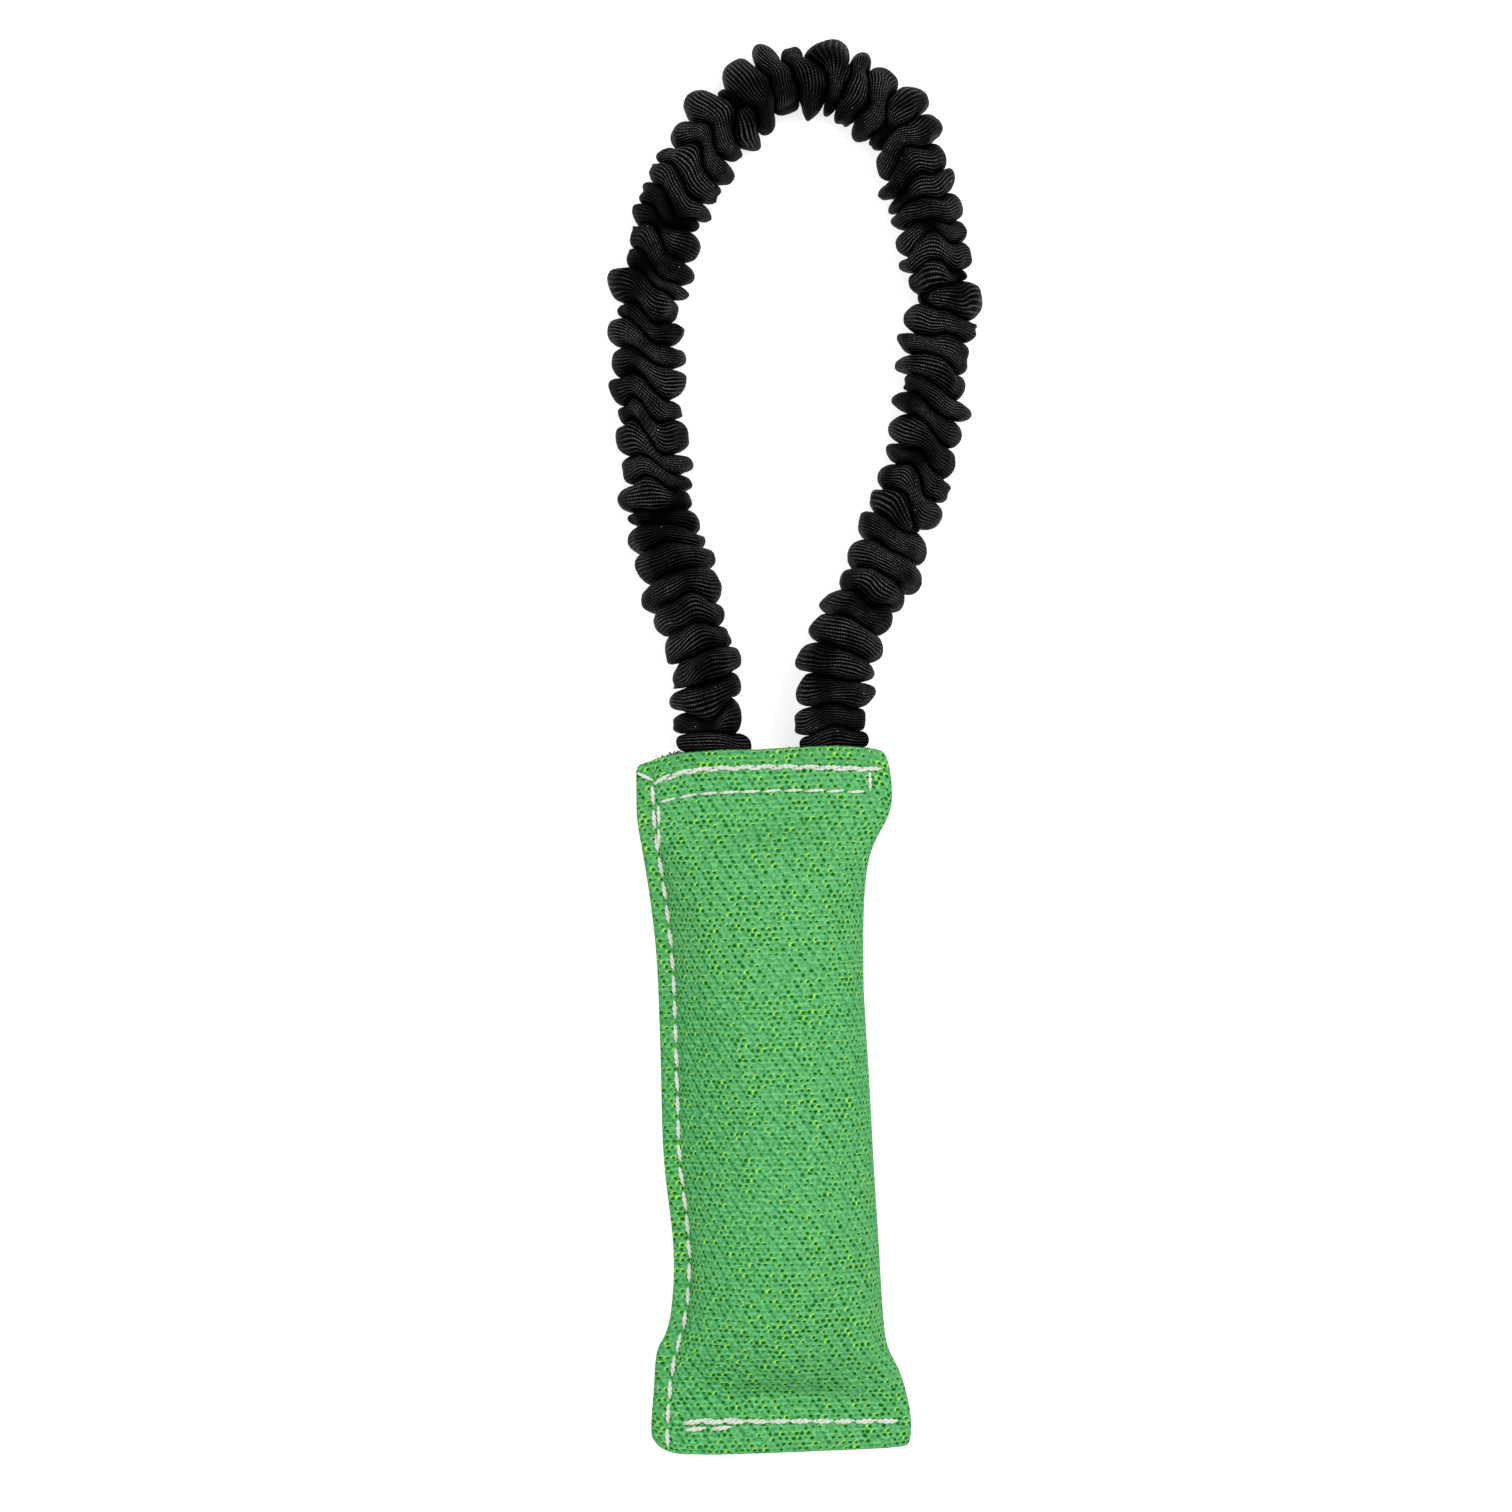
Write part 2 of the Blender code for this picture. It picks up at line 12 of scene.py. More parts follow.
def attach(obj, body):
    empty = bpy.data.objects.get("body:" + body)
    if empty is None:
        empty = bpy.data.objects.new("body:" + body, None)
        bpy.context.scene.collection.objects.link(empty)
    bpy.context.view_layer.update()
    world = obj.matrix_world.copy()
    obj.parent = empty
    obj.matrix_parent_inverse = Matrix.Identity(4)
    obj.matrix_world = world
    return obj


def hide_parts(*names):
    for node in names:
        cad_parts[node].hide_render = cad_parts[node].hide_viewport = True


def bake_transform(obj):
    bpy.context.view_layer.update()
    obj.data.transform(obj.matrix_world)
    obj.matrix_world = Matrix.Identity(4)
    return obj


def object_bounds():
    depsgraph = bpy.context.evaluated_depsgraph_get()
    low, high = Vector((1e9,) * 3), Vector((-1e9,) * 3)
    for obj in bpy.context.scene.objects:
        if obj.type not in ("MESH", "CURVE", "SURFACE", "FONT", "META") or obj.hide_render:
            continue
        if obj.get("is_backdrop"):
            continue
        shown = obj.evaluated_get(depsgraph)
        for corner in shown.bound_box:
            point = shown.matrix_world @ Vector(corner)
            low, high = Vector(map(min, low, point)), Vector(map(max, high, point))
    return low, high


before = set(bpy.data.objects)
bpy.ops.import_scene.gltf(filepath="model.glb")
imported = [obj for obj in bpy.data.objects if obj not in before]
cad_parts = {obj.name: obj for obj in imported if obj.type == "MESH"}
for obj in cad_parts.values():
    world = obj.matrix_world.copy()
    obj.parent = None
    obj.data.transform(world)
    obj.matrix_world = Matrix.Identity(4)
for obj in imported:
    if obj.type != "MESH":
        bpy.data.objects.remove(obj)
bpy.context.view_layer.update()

# The camera looks straight down from 1.2 m through a long lens, turned a little as in the
# photograph. The toy lies on a pale floor under a large soft lamp and a weaker one. The
# floor has no underside, so that the toy's back can be seen from below.
camera_data = bpy.data.cameras.new("camera")
camera_data.lens = 100
camera_data.sensor_width = 36
camera = bpy.data.objects.new("camera", camera_data)
camera.location = (-0.0026, 0.0984, 1.2165)
camera.rotation_euler = (0, 0, math.radians(-1.35))
bpy.context.scene.collection.objects.link(camera)
bpy.context.scene.camera = camera
bpy.context.scene.view_settings.view_transform = "Standard"


def hang_lamp(name, place, wide, power):
    """A square soft lamp that faces the middle of the toy."""
    lamp = bpy.data.lights.new(name, "AREA")
    lamp.shape = "SQUARE"
    lamp.size = wide
    lamp.energy = power
    thing = bpy.data.objects.new(name, lamp)
    thing.location = place
    aim = Vector((0.01, 0.10, 0.0)) - Vector(place)
    thing.rotation_euler = aim.to_track_quat("-Z", "Y").to_euler()
    bpy.context.scene.collection.objects.link(thing)


hang_lamp("softbox_right", (0.50, 0.42, 1.10), 0.80, 7.4)
hang_lamp("softbox_left", (-0.70, -0.20, 0.95), 0.80, 2.6)



def feed(tree, socket, value):
    """Wire a socket to a node or to one of its sockets, or set it to a plain value."""
    if isinstance(value, bpy.types.Node):
        value = value.outputs[0]
    if isinstance(value, bpy.types.NodeSocket):
        tree.links.new(value, socket)
    else:
        socket.default_value = value


def chain(tree, kind, feeds=(), **settings):
    """A node with its settings made and its sockets fed, by name or by number."""
    step = tree.nodes.new(kind)
    for name, value in settings.items():
        setattr(step, name, value)
    for socket, value in dict(feeds).items():
        feed(tree, step.inputs[socket], value)
    return step


def work_out(tree, operation, *values):
    """One step of arithmetic in a node tree."""
    step = tree.nodes.new("ShaderNodeMath")
    step.operation = operation
    for socket, value in zip(step.inputs, values):
        feed(tree, socket, value)
    return step.outputs[0]


def hang_daylight(seen_strength, lit_strength):
    """A white world, brighter where the camera sees it than where it lights the toy."""
    daylight = bpy.data.worlds.new("daylight")
    daylight.use_nodes = True
    tree = daylight.node_tree
    seen = chain(tree, "ShaderNodeLightPath").outputs["Is Camera Ray"]
    strength = work_out(tree, "MULTIPLY_ADD", seen, seen_strength - lit_strength, lit_strength)
    sky = tree.nodes["Background"]
    feed(tree, sky.inputs["Color"], (1, 1, 1, 1))
    feed(tree, sky.inputs["Strength"], strength)
    bpy.context.scene.world = daylight


def floor_material(glow_strength):
    """Matt grey that glows white to the camera, and isn't there when seen from below."""
    material = bpy.data.materials.new("pale_floor")
    material.use_nodes = True
    tree = material.node_tree
    tree.nodes.remove(tree.nodes["Principled BSDF"])
    matt = chain(tree, "ShaderNodeBsdfDiffuse", {"Color": (0.80, 0.80, 0.80, 1)})
    seen = chain(tree, "ShaderNodeLightPath").outputs
    clear = work_out(tree, "MAXIMUM", seen["Is Camera Ray"], seen["Is Glossy Ray"])
    clear = work_out(tree, "MAXIMUM", clear, seen["Is Transmission Ray"])
    glow = chain(
        tree, "ShaderNodeEmission", {"Strength": work_out(tree, "MULTIPLY", clear, glow_strength)}
    )
    both = chain(tree, "ShaderNodeAddShader", {0: matt, 1: glow})
    below = chain(tree, "ShaderNodeNewGeometry").outputs["Backfacing"]
    nothing = chain(tree, "ShaderNodeBsdfTransparent")
    one_sided = chain(tree, "ShaderNodeMixShader", {0: below, 1: both, 2: nothing})
    feed(tree, tree.nodes["Material Output"].inputs["Surface"], one_sided)
    return material


hang_daylight(1.0, 0.46)

floor_mesh = bpy.data.meshes.new("floor")
shape = bmesh.new()
bmesh.ops.create_circle(shape, cap_ends=True, segments=64, radius=6)
shape.to_mesh(floor_mesh)
shape.free()
floor_mesh.materials.append(floor_material(0.70))
floor = bpy.data.objects.new("floor", floor_mesh)
bpy.context.scene.collection.objects.link(floor)
floor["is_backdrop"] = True

# The loop's route: out of the mouth at the left, round and back in at the right. The elastic
# cord and its sleeve follow it. It sinks from the seam's height until it lies on the floor.
route_knots = [
    (-0.0148, 0.0865), (-0.0148, 0.0935), (-0.0148, 0.1000), (-0.0148, 0.1103), (-0.0148, 0.1206),
    (-0.0196, 0.1368), (-0.0245, 0.1506), (-0.0276, 0.1651), (-0.0304, 0.1826), (-0.0316, 0.1970),
    (-0.0322, 0.2120), (-0.0318, 0.2240), (-0.0299, 0.2359), (-0.0262, 0.2471), (-0.0212, 0.2590),
    (-0.0158, 0.2696), (-0.0080, 0.2794), (0.0025, 0.2875), (0.0155, 0.2921), (0.0290, 0.2890),
    (0.0395, 0.2810), (0.0465, 0.2681), (0.0510, 0.2550), (0.0536, 0.2399), (0.0540, 0.2249),
    (0.0525, 0.2099), (0.0505, 0.1961), (0.0474, 0.1830), (0.0430, 0.1705), (0.0382, 0.1601),
    (0.0334, 0.1495), (0.0288, 0.1395), (0.0240, 0.1300), (0.0202, 0.1206), (0.0202, 0.1103),
    (0.0202, 0.1000), (0.0202, 0.0935), (0.0202, 0.0865),
]
leg_places = (route_knots[0][0], route_knots[-1][0])
mouth_y = 0.1000
tail_depth = 0.0135
straight_length = 0.0206
droop_end = 0.078
seam_height = 0.01654
lying_height = 0.00824


def ease(share):
    """Rise smoothly from 0 to 1 as the share goes from 0 to 1."""
    share = np.clip(share, 0, 1)
    return share * share * (3 - 2 * share)


def smooth_line(knots, steps):
    """Points on a smooth curve through the knots, with so many steps from each to the next."""
    knots = np.array(knots, float)
    four = np.vstack([2 * knots[0] - knots[1], knots, 2 * knots[-1] - knots[-2]])
    share = np.arange(steps)[:, None] / steps
    runs = []
    for before, start, end, after in zip(four, four[1:], four[2:], four[3:]):
        curve = 2 * start + (end - before) * share
        curve = curve + (2 * before - 5 * start + 4 * end - after) * share**2
        curve = curve + (3 * start - before - 3 * end + after) * share**3
        runs.append(0.5 * curve)
    return np.vstack([*runs, knots[-1:]])


flat_route = smooth_line(route_knots, 24)
route_places = np.concatenate(
    [[0], np.cumsum(np.linalg.norm(np.diff(flat_route, axis=0), axis=1))]
)
route_places = route_places - tail_depth
loop_length = float(route_places[-1]) - tail_depth
from_mouth = np.minimum(route_places, loop_length - route_places)
sunk = ease((from_mouth - straight_length) / (droop_end - straight_length))
route_heights = seam_height + (lying_height - seam_height) * sunk
route = np.column_stack([flat_route, route_heights])


def along_route(places):
    """The points at distances along the loop, with the directions sideways and upwards there."""
    nearby = 0.002
    points, ahead, behind = (
        np.stack([np.interp(places + step, route_places, route[:, axis]) for axis in range(3)], -1)
        for step in (0, nearby, -nearby)
    )
    forward = ahead - behind
    forward = forward / np.linalg.norm(forward, axis=-1, keepdims=True)
    side = np.cross(forward, (0, 0, 1))
    side = side / np.linalg.norm(side, axis=-1, keepdims=True)
    return points, side, np.cross(side, forward)


# The sleeve: black tubular nylon webbing, woven with ribs that run round it, far longer than
# the cord inside. It is gathered into some 60 deep ruffles, and its ends are pressed flat and
# sewn in the mouth. The ruffles are fullest on the outside, at the loop's far end.
sleeve_around = 72
rings_per_ruffle = 16
valley_radius = 0.0056
crest_rise = 0.0053
ruffle_pitch = 0.0070
least_ruffle = 0.0014
ruffle_give = 0.0008
top_fullness = 0.0017
top_reach = 0.040
crumple_depth = 0.00042
flat_half_width = 0.0104
flat_half_thickness = 0.0027
round_end = 0.0118
rib_pitch = 0.00112
knot_pitch = 0.00072
split_places = (0.0280, 0.0515)
ruffle_luck = np.random.RandomState(29)
# The crumple's noise takes its seed from the clock unless it is given one.
noise.seed_set(29)
sleeve_turn = np.arange(sleeve_around) * 2 * math.pi / sleeve_around


def wandering(count, reach, likeness):
    """One wavy line round the sleeve for each of count ruffles, level where it turns under."""
    across, rise = np.cos(sleeve_turn), np.sin(sleeve_turn)
    across = np.clip(1.12 * across, -1, 1)
    shapes = [
        np.sin(0.5 * math.pi * across),
        np.cos(math.pi * across) * 0.50,
        np.sin(1.5 * math.pi * across) * 0.30,
        np.abs(rise) ** 3 * rise * 0.60,
        rise**4 * np.sin(2 * sleeve_turn) * 0.50,
    ]
    pull = ruffle_luck.normal(size=(count, len(shapes)))
    for row in range(1, count):
        pull[row] = likeness * pull[row - 1] + math.sqrt(1 - likeness**2) * pull[row]
    return reach * pull @ np.array(shapes)


def gather(start, end, pitches, tilts=(0, 0)):
    """The valleys between ruffles from start to end: a line round the sleeve for each."""
    count = len(pitches)
    tilt = np.interp(np.linspace(0, 1, count + 1), np.linspace(0, 1, len(tilts)), tilts)
    turned_under = np.clip(1.12 * np.cos(sleeve_turn), -1, 1) ** 4
    wander = wandering(count + 1, 0.0018, 0.68)
    wander += wandering(count + 1, 0.0012, 0) * (1 - 0.6 * turned_under)
    wander += tilt[:, None] * np.sin(0.5 * math.pi * np.cos(sleeve_turn))
    from_end = np.minimum(np.arange(count + 1), count - np.arange(count + 1))
    wander = wander * np.minimum(1, from_end / 2)[:, None]
    widths = np.array(pitches)[:, None] + np.diff(wander, axis=0)
    widths = least_ruffle + ruffle_give * np.logaddexp(0, (widths - least_ruffle) / ruffle_give)
    widths = widths * (end - start) / widths.sum(0)
    return start + np.vstack([np.zeros(sleeve_around), np.cumsum(widths, axis=0)])


root_pitches = [0.0052, 0.0068, 0.0080, 0.0080]
bend_pitches = [0.0080, 0.0074, 0.0081]
main_length = loop_length - 2 * split_places[1]
main_pitches = ruffle_pitch * ruffle_luck.uniform(0.72, 1.30, round(main_length / ruffle_pitch))
sleeve_runs = [
    gather(0, split_places[0], root_pitches),
    gather(split_places[0], split_places[1], bend_pitches),
    gather(
        split_places[1],
        loop_length - split_places[1],
        main_pitches,
        (-0.0016, -0.0020, -0.0010, 0.0004, 0.0008, -0.0012, -0.0008),
    ),
    gather(loop_length - split_places[1], loop_length - split_places[0], bend_pitches[::-1]),
    gather(loop_length - split_places[0], loop_length, root_pitches[::-1]),
]
valleys = np.vstack([sleeve_runs[0][:1], *[run[1:] for run in sleeve_runs]])
ruffles = len(valleys) - 1
widths = np.diff(valleys, axis=0)
crest = crest_rise * (widths / ruffle_pitch) ** 0.45 * (1 + wandering(ruffles, 0.19, 0.2))
crest = np.clip(crest, 0.0028, 0.0068) * (0.12 + 0.88 * ease((widths - 0.0012) / 0.0040))
at_top = np.exp(-(((valleys[:-1] + valleys[1:]) / 2 - 0.5 * loop_length) / top_reach) ** 2)
crest += top_fullness * at_top * np.clip(-np.cos(sleeve_turn), 0, 1)
valley_rise = np.clip(wandering(ruffles + 1, 0.0004, 0.2), -0.0006, 0.0012)
lean = np.clip(wandering(ruffles, 0.16, 0.5), -0.4, 0.4)
dent = np.clip(wandering(ruffles, 0.14, 0.3) - 0.05, 0, 0.35)

sleeve_rings = []
sleeve_ribs = []
ribs_so_far = 0
for number in range(ruffles):
    wide = widths[number]
    tall = crest[number]
    rib_count = round(float(np.mean(wide + 1.2 * tall)) / rib_pitch)
    for step in range(rings_per_ruffle + (number == ruffles - 1)):
        turned = math.pi * step / rings_per_ruffle
        bulge = math.sin(turned)
        spread = 0.82 * (0.5 - 0.5 * math.cos(turned)) + 0.18 * step / rings_per_ruffle
        place = valleys[number] + wide * spread + lean[number] * tall * bulge**2
        share = step / rings_per_ruffle
        base = (1 - share) * valley_rise[number] + share * valley_rise[number + 1]
        hollow = dent[number] * math.exp(-(((share - 0.5) / 0.16) ** 2))
        rise = tall * (bulge ** (0.78 + 0.30 * ease((wide - 0.0075) / 0.0045)) - hollow)
        sleeve_rings.append((place, valley_radius + base + rise))
        sleeve_ribs.append(ribs_so_far + rib_count * share)
    ribs_so_far += rib_count
for end in (0, -1):
    inside = [(-tail_depth + 0.0008, -0.007, -0.001), (0.001, 0.007, tail_depth - 0.0008)][end]
    flat = [(sleeve_rings[end][0] + step, sleeve_rings[end][1]) for step in inside]
    ribs = [sleeve_ribs[end] + step / rib_pitch for step in inside]
    sleeve_rings = flat + sleeve_rings if end == 0 else sleeve_rings + flat
    sleeve_ribs = ribs + sleeve_ribs if end == 0 else sleeve_ribs + ribs

sleeve_places = np.array([ring[0] for ring in sleeve_rings])
sleeve_radii = np.array([ring[1] for ring in sleeve_rings])
sleeve_heights = np.clip((sleeve_radii - valley_radius) / crest_rise, 0, 1)
ring_points, ring_side, ring_rise = along_route(sleeve_places)
roundness = ease(np.minimum(sleeve_places, loop_length - sleeve_places) / round_end)
swell = sleeve_radii / (valley_radius + 0.7 * crest_rise)
out_side = roundness * sleeve_radii + (1 - roundness) * flat_half_width * swell**0.6
out_rise = roundness * sleeve_radii + (1 - roundness) * flat_half_thickness * swell
sleeve_points = ring_points + ring_side * (out_side * np.cos(sleeve_turn))[..., None]
sleeve_points += ring_rise * (out_rise * np.sin(sleeve_turn))[..., None]
flat_points = sleeve_points.reshape(-1, 3)
crumple = np.array(
    [noise.noise_vector(Vector(point) * 230) + noise.noise_vector(Vector(point) * 620) * 0.3
     for point in flat_points]
)
loose = np.clip(roundness, 0.2, 1).reshape(-1, 1)
flat_points += crumple_depth * loose * crumple
floor_press = 0.0004
low = flat_points[:, 2] < 2 * floor_press
flat_points[low, 2] = floor_press * np.exp(flat_points[low, 2] / floor_press / 2 - 1) + 0.0001
sleeve_points = flat_points.reshape(sleeve_points.shape)


def tube_mesh(name, points, rings_uv, turns_uv, uv_name):
    """A closed tube through rings of points, with a map of how far along and round it is."""
    count, sides = points.shape[:2]
    ring, side = np.meshgrid(np.arange(count - 1), np.arange(sides), indexing="ij")
    beside = (side + 1) % sides
    corners = [ring * sides + side, ring * sides + beside]
    corners += [(ring + 1) * sides + beside, (ring + 1) * sides + side]
    faces = np.stack(corners, -1).reshape(-1, 4).tolist()
    faces += [list(range(sides))[::-1], [(count - 1) * sides + number for number in range(sides)]]
    mesh = bpy.data.meshes.new(name)
    mesh.from_pydata(points.reshape(-1, 3).tolist(), [], faces)
    across = np.stack([side, side + 1, side + 1, side], -1).reshape(-1) * turns_uv / sides
    rings_uv = np.array(rings_uv, float)
    down = np.stack([rings_uv[ring], rings_uv[ring], rings_uv[ring + 1], rings_uv[ring + 1]], -1)
    layer = mesh.uv_layers.new(name=uv_name)
    values = np.zeros((len(mesh.loops), 2), np.float32)
    values[: across.size, 0] = across
    values[: across.size, 1] = down.reshape(-1)
    layer.data.foreach_set("uv", values.ravel())
    tidy = bmesh.new()
    tidy.from_mesh(mesh)
    bmesh.ops.recalc_face_normals(tidy, faces=tidy.faces)
    if tidy.calc_volume(signed=True) < 0:
        bmesh.ops.reverse_faces(tidy, faces=tidy.faces)
    tidy.to_mesh(mesh)
    tidy.free()
    mesh.shade_smooth()
    return mesh


def fade(tree, value, start, end, low=0.0, high=1.0):
    """Go smoothly from low to high as the value goes from start to end."""
    step = tree.nodes.new("ShaderNodeMapRange")
    step.interpolation_type = "SMOOTHSTEP"
    for socket, given in zip(step.inputs, (value, start, end, low, high)):
        feed(tree, socket, given)
    return step.outputs["Result"]


def blend_colour(tree, share, first, second):
    """The first colour, turning into the second as the share goes from 0 to 1."""
    step = tree.nodes.new("ShaderNodeMix")
    step.data_type = "RGBA"
    feed(tree, step.inputs[0], share)
    feed(tree, step.inputs[6], first)
    feed(tree, step.inputs[7], second)
    return step.outputs[2]


def luck_of(tree, first, second):
    """Four random values from 0 to 1 for each pair of whole numbers."""
    pair = tree.nodes.new("ShaderNodeCombineXYZ")
    feed(tree, pair.inputs[0], first)
    feed(tree, pair.inputs[1], second)
    dice = tree.nodes.new("ShaderNodeTexWhiteNoise")
    dice.noise_dimensions = "2D"
    tree.links.new(pair.outputs[0], dice.inputs["Vector"])
    apart = tree.nodes.new("ShaderNodeSeparateColor")
    tree.links.new(dice.outputs["Color"], apart.inputs[0])
    return (*apart.outputs, dice.outputs["Value"])


def clouds(tree, scale, detail, stretch=(1, 1, 1), vector=None):
    """Soft noise over the object, or over the vector that is given."""
    if vector is None:
        vector = tree.nodes.new("ShaderNodeTexCoord").outputs["Object"]
    sized = tree.nodes.new("ShaderNodeMapping")
    sized.inputs["Scale"].default_value = stretch
    tree.links.new(vector, sized.inputs["Vector"])
    cloud = tree.nodes.new("ShaderNodeTexNoise")
    cloud.inputs["Scale"].default_value = scale
    cloud.inputs["Detail"].default_value = detail
    tree.links.new(sized.outputs[0], cloud.inputs["Vector"])
    return cloud.outputs["Fac"]


def cloth_map(tree, name):
    """The two coordinates of a woven piece's own map, and the pair of them."""
    place = tree.nodes.new("ShaderNodeUVMap")
    place.uv_map = name
    apart = tree.nodes.new("ShaderNodeSeparateXYZ")
    tree.links.new(place.outputs[0], apart.inputs[0])
    return apart.outputs[0], apart.outputs[1], place.outputs[0]


def raise_by(tree, shader, height, distance):
    """Raise the surface by a height, as far as light is concerned."""
    bump = tree.nodes.new("ShaderNodeBump")
    bump.inputs["Distance"].default_value = distance
    tree.links.new(height, bump.inputs["Height"])
    tree.links.new(bump.outputs[0], shader.inputs["Normal"])


def new_finish(name, roughness, specular=0.5):
    """A material, with its node tree and its shader for the looks to be wired to."""
    material = bpy.data.materials.new(name)
    material.use_nodes = True
    shader = material.node_tree.nodes["Principled BSDF"]
    shader.inputs["Roughness"].default_value = roughness
    shader.inputs["Specular IOR Level"].default_value = specular
    return material, material.node_tree, shader


def webbing_material():
    """Black nylon: ribs round the sleeve, each a row of small raised knots of yarn, whose tops are
    painted grey as highlights and which are painted darker as shade in the valleys between ruffles.
    """
    material, tree, shader = new_finish("black_webbing", 0.50, 0.02)
    turn, rib, _ = cloth_map(tree, "webbing")
    rib = work_out(tree, "ADD", rib, work_out(tree, "MULTIPLY", clouds(tree, 120, 1), 0.5))
    rib_number = work_out(tree, "FLOOR", rib)
    odd = work_out(tree, "MODULO", work_out(tree, "ABSOLUTE", rib_number), 2.0)
    turn = work_out(tree, "ADD", turn, work_out(tree, "MULTIPLY", odd, 0.5))
    knot_number = work_out(tree, "FLOOR", turn)
    across = work_out(tree, "COSINE", work_out(tree, "MULTIPLY", rib, 2 * math.pi))
    across = work_out(tree, "MULTIPLY_ADD", across, -0.5, 0.5)
    around = work_out(tree, "COSINE", work_out(tree, "MULTIPLY", turn, 2 * math.pi))
    around = work_out(tree, "MULTIPLY_ADD", around, -0.5, 0.5)
    knot = work_out(tree, "MULTIPLY", across, around)
    red, _, _, any_value = luck_of(tree, rib_number, knot_number)
    bead = fade(tree, around, 0.15, 0.75, 0.22, 1.0)
    patch = fade(tree, clouds(tree, 80, 2), 0.36, 0.62, 0.16, 1.0)
    # Painted shade: the knots' grey fades towards the valleys between ruffles, by each ring's
    # height above its valley.
    height = tree.nodes.new("ShaderNodeAttribute")
    height.attribute_name = "height"
    lit = fade(tree, height.outputs["Fac"], 0.32, 1.00, 0.12, 1.0)
    # Painted highlight: the black yarn's knots are painted grey where they stand up, brighter or
    # dimmer at random.
    shown = work_out(tree, "MULTIPLY", fade(tree, across, 0.60, 0.97), bead)
    shown = work_out(tree, "MULTIPLY", shown, work_out(tree, "MULTIPLY_ADD", red, 0.60, 0.40))
    shown = work_out(tree, "MULTIPLY", shown, work_out(tree, "MULTIPLY", patch, lit))
    colour = blend_colour(tree, shown, (0.0004, 0.0004, 0.0004, 1), (0.208, 0.210, 0.206, 1))
    speck = work_out(tree, "GREATER_THAN", any_value, 0.9985)
    speck = work_out(tree, "MULTIPLY", speck, fade(tree, knot, 0.5, 0.9))
    colour = blend_colour(tree, speck, colour, (0.55, 0.57, 0.60, 1))
    tree.links.new(colour, shader.inputs["Base Color"])
    height = work_out(tree, "MULTIPLY_ADD", knot, 0.5, work_out(tree, "MULTIPLY", across, 0.5))
    raise_by(tree, shader, height, 0.00030)
    return material


black_webbing = webbing_material()


def add_piece(name, mesh, material):
    """A new piece at the origin, unturned and unscaled, with its place in its mesh."""
    thing = bpy.data.objects.new(name, mesh)
    bpy.context.scene.collection.objects.link(thing)
    mesh.materials.clear()
    mesh.materials.append(material)
    return thing


def rows_between(first_ruffle, last_ruffle):
    """The rings of the sleeve from one valley to another, with the flat ends where they are."""
    start = 0 if first_ruffle == 0 else 3 + first_ruffle * rings_per_ruffle
    end = len(sleeve_ribs) if last_ruffle == ruffles else 4 + last_ruffle * rings_per_ruffle
    return slice(start, end)


knots_round = round(2 * math.pi * (valley_radius + crest_rise) / knot_pitch)
run_ends = np.cumsum([0, *[len(run) - 1 for run in sleeve_runs]])
loop_nodes = {
    "left_root": ["left_tail"],
    "left_bend": ["left_base"],
    "loop": ["left_leg", "grip", "right_leg"],
    "right_bend": ["right_base"],
    "right_root": ["right_tail"],
}
sleeve_pieces = {}
for name, first, last in zip(loop_nodes, run_ends, run_ends[1:]):
    rows = rows_between(first, last)
    mesh = tube_mesh(
        f"sleeve_{name}", sleeve_points[rows], sleeve_ribs[rows], knots_round, "webbing"
    )
    # Each ring's height above the valley, by which the webbing's material paints shade into the
    # valleys.
    height = mesh.attributes.new("height", "FLOAT", "POINT")
    height.data.foreach_set("value", sleeve_heights[rows].astype(np.float32).ravel())
    sleeve_pieces[name] = add_piece(f"sleeve_{name}", mesh, black_webbing)
    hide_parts(*[f"sleeve_{node}" for node in loop_nodes[name]])


def bend_with_loop(thing, run):
    """Bake a piece of the loop's placement into its mesh; every run is treated the same."""
    if run.endswith("root"):
        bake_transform(thing)
    elif run.endswith("bend"):
        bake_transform(thing)
    else:
        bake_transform(thing)


for name, piece in sleeve_pieces.items():
    bend_with_loop(piece, name)

# The webbing's cut ends fray: loose blue-black nylon threads peep out of the mouth beside the
# legs, most of them at the left. Each is a thin bent rod with its root under the cover's edge.
fray_luck = np.random.RandomState(7)
fray_radius = 0.00022
fray_depth = 0.0016
edge_slope = 0.28
fray_steps = 5


def loose_thread(root, reach, curl):
    """Add one thread that leaves its root, bends aside and grows thinner."""
    rings = []
    for step in range(fray_steps + 1):
        share = step / fray_steps
        centre = root + reach * share + curl * share**2
        thick = fray_radius * (1 - 0.5 * share)
        ring = []
        for turn in (0, 1.571, 3.142, 4.712):
            out = Vector((math.cos(turn) * thick, 0, math.sin(turn) * thick))
            ring.append(fray_shape.verts.new(centre + out))
        rings.append(ring)
    for first, second in zip(rings, rings[1:]):
        for side in range(4):
            beside = (side + 1) % 4
            fray_shape.faces.new((first[side], first[beside], second[beside], second[side]))
    fray_shape.faces.new(rings[0])
    fray_shape.faces.new(rings[-1])


fray_shape = bmesh.new()
for start_x, end_x, edge_y, count in (
    (-0.0293, -0.0238, 0.0989, 70), (0.0054, 0.0078, 0.1005, 14), (0.0268, 0.0300, 0.1001, 14)
):
    for number in range(count):
        root_x = start_x + (end_x - start_x) * (number + fray_luck.uniform(-0.4, 0.4)) / count
        slope = edge_slope * (root_x - start_x) if start_x < 0 else 0
        root_z = seam_height + fray_luck.uniform(-0.7, 1.2) * 0.001
        curl = Vector(fray_luck.uniform(-1, 1, 3) * (0.0009, 0.0003, 0.0006))
        reach = Vector((fray_luck.normal() * 0.0009, fray_luck.uniform(0.0012, 0.0019), 0))
        loose_thread(Vector((root_x, edge_y - fray_depth + slope, root_z)), reach, curl)
bmesh.ops.recalc_face_normals(fray_shape, faces=fray_shape.faces)
fray_mesh = bpy.data.meshes.new("frayed_ends")
fray_shape.to_mesh(fray_mesh)
fray_shape.free()
fray_mesh.shade_smooth()


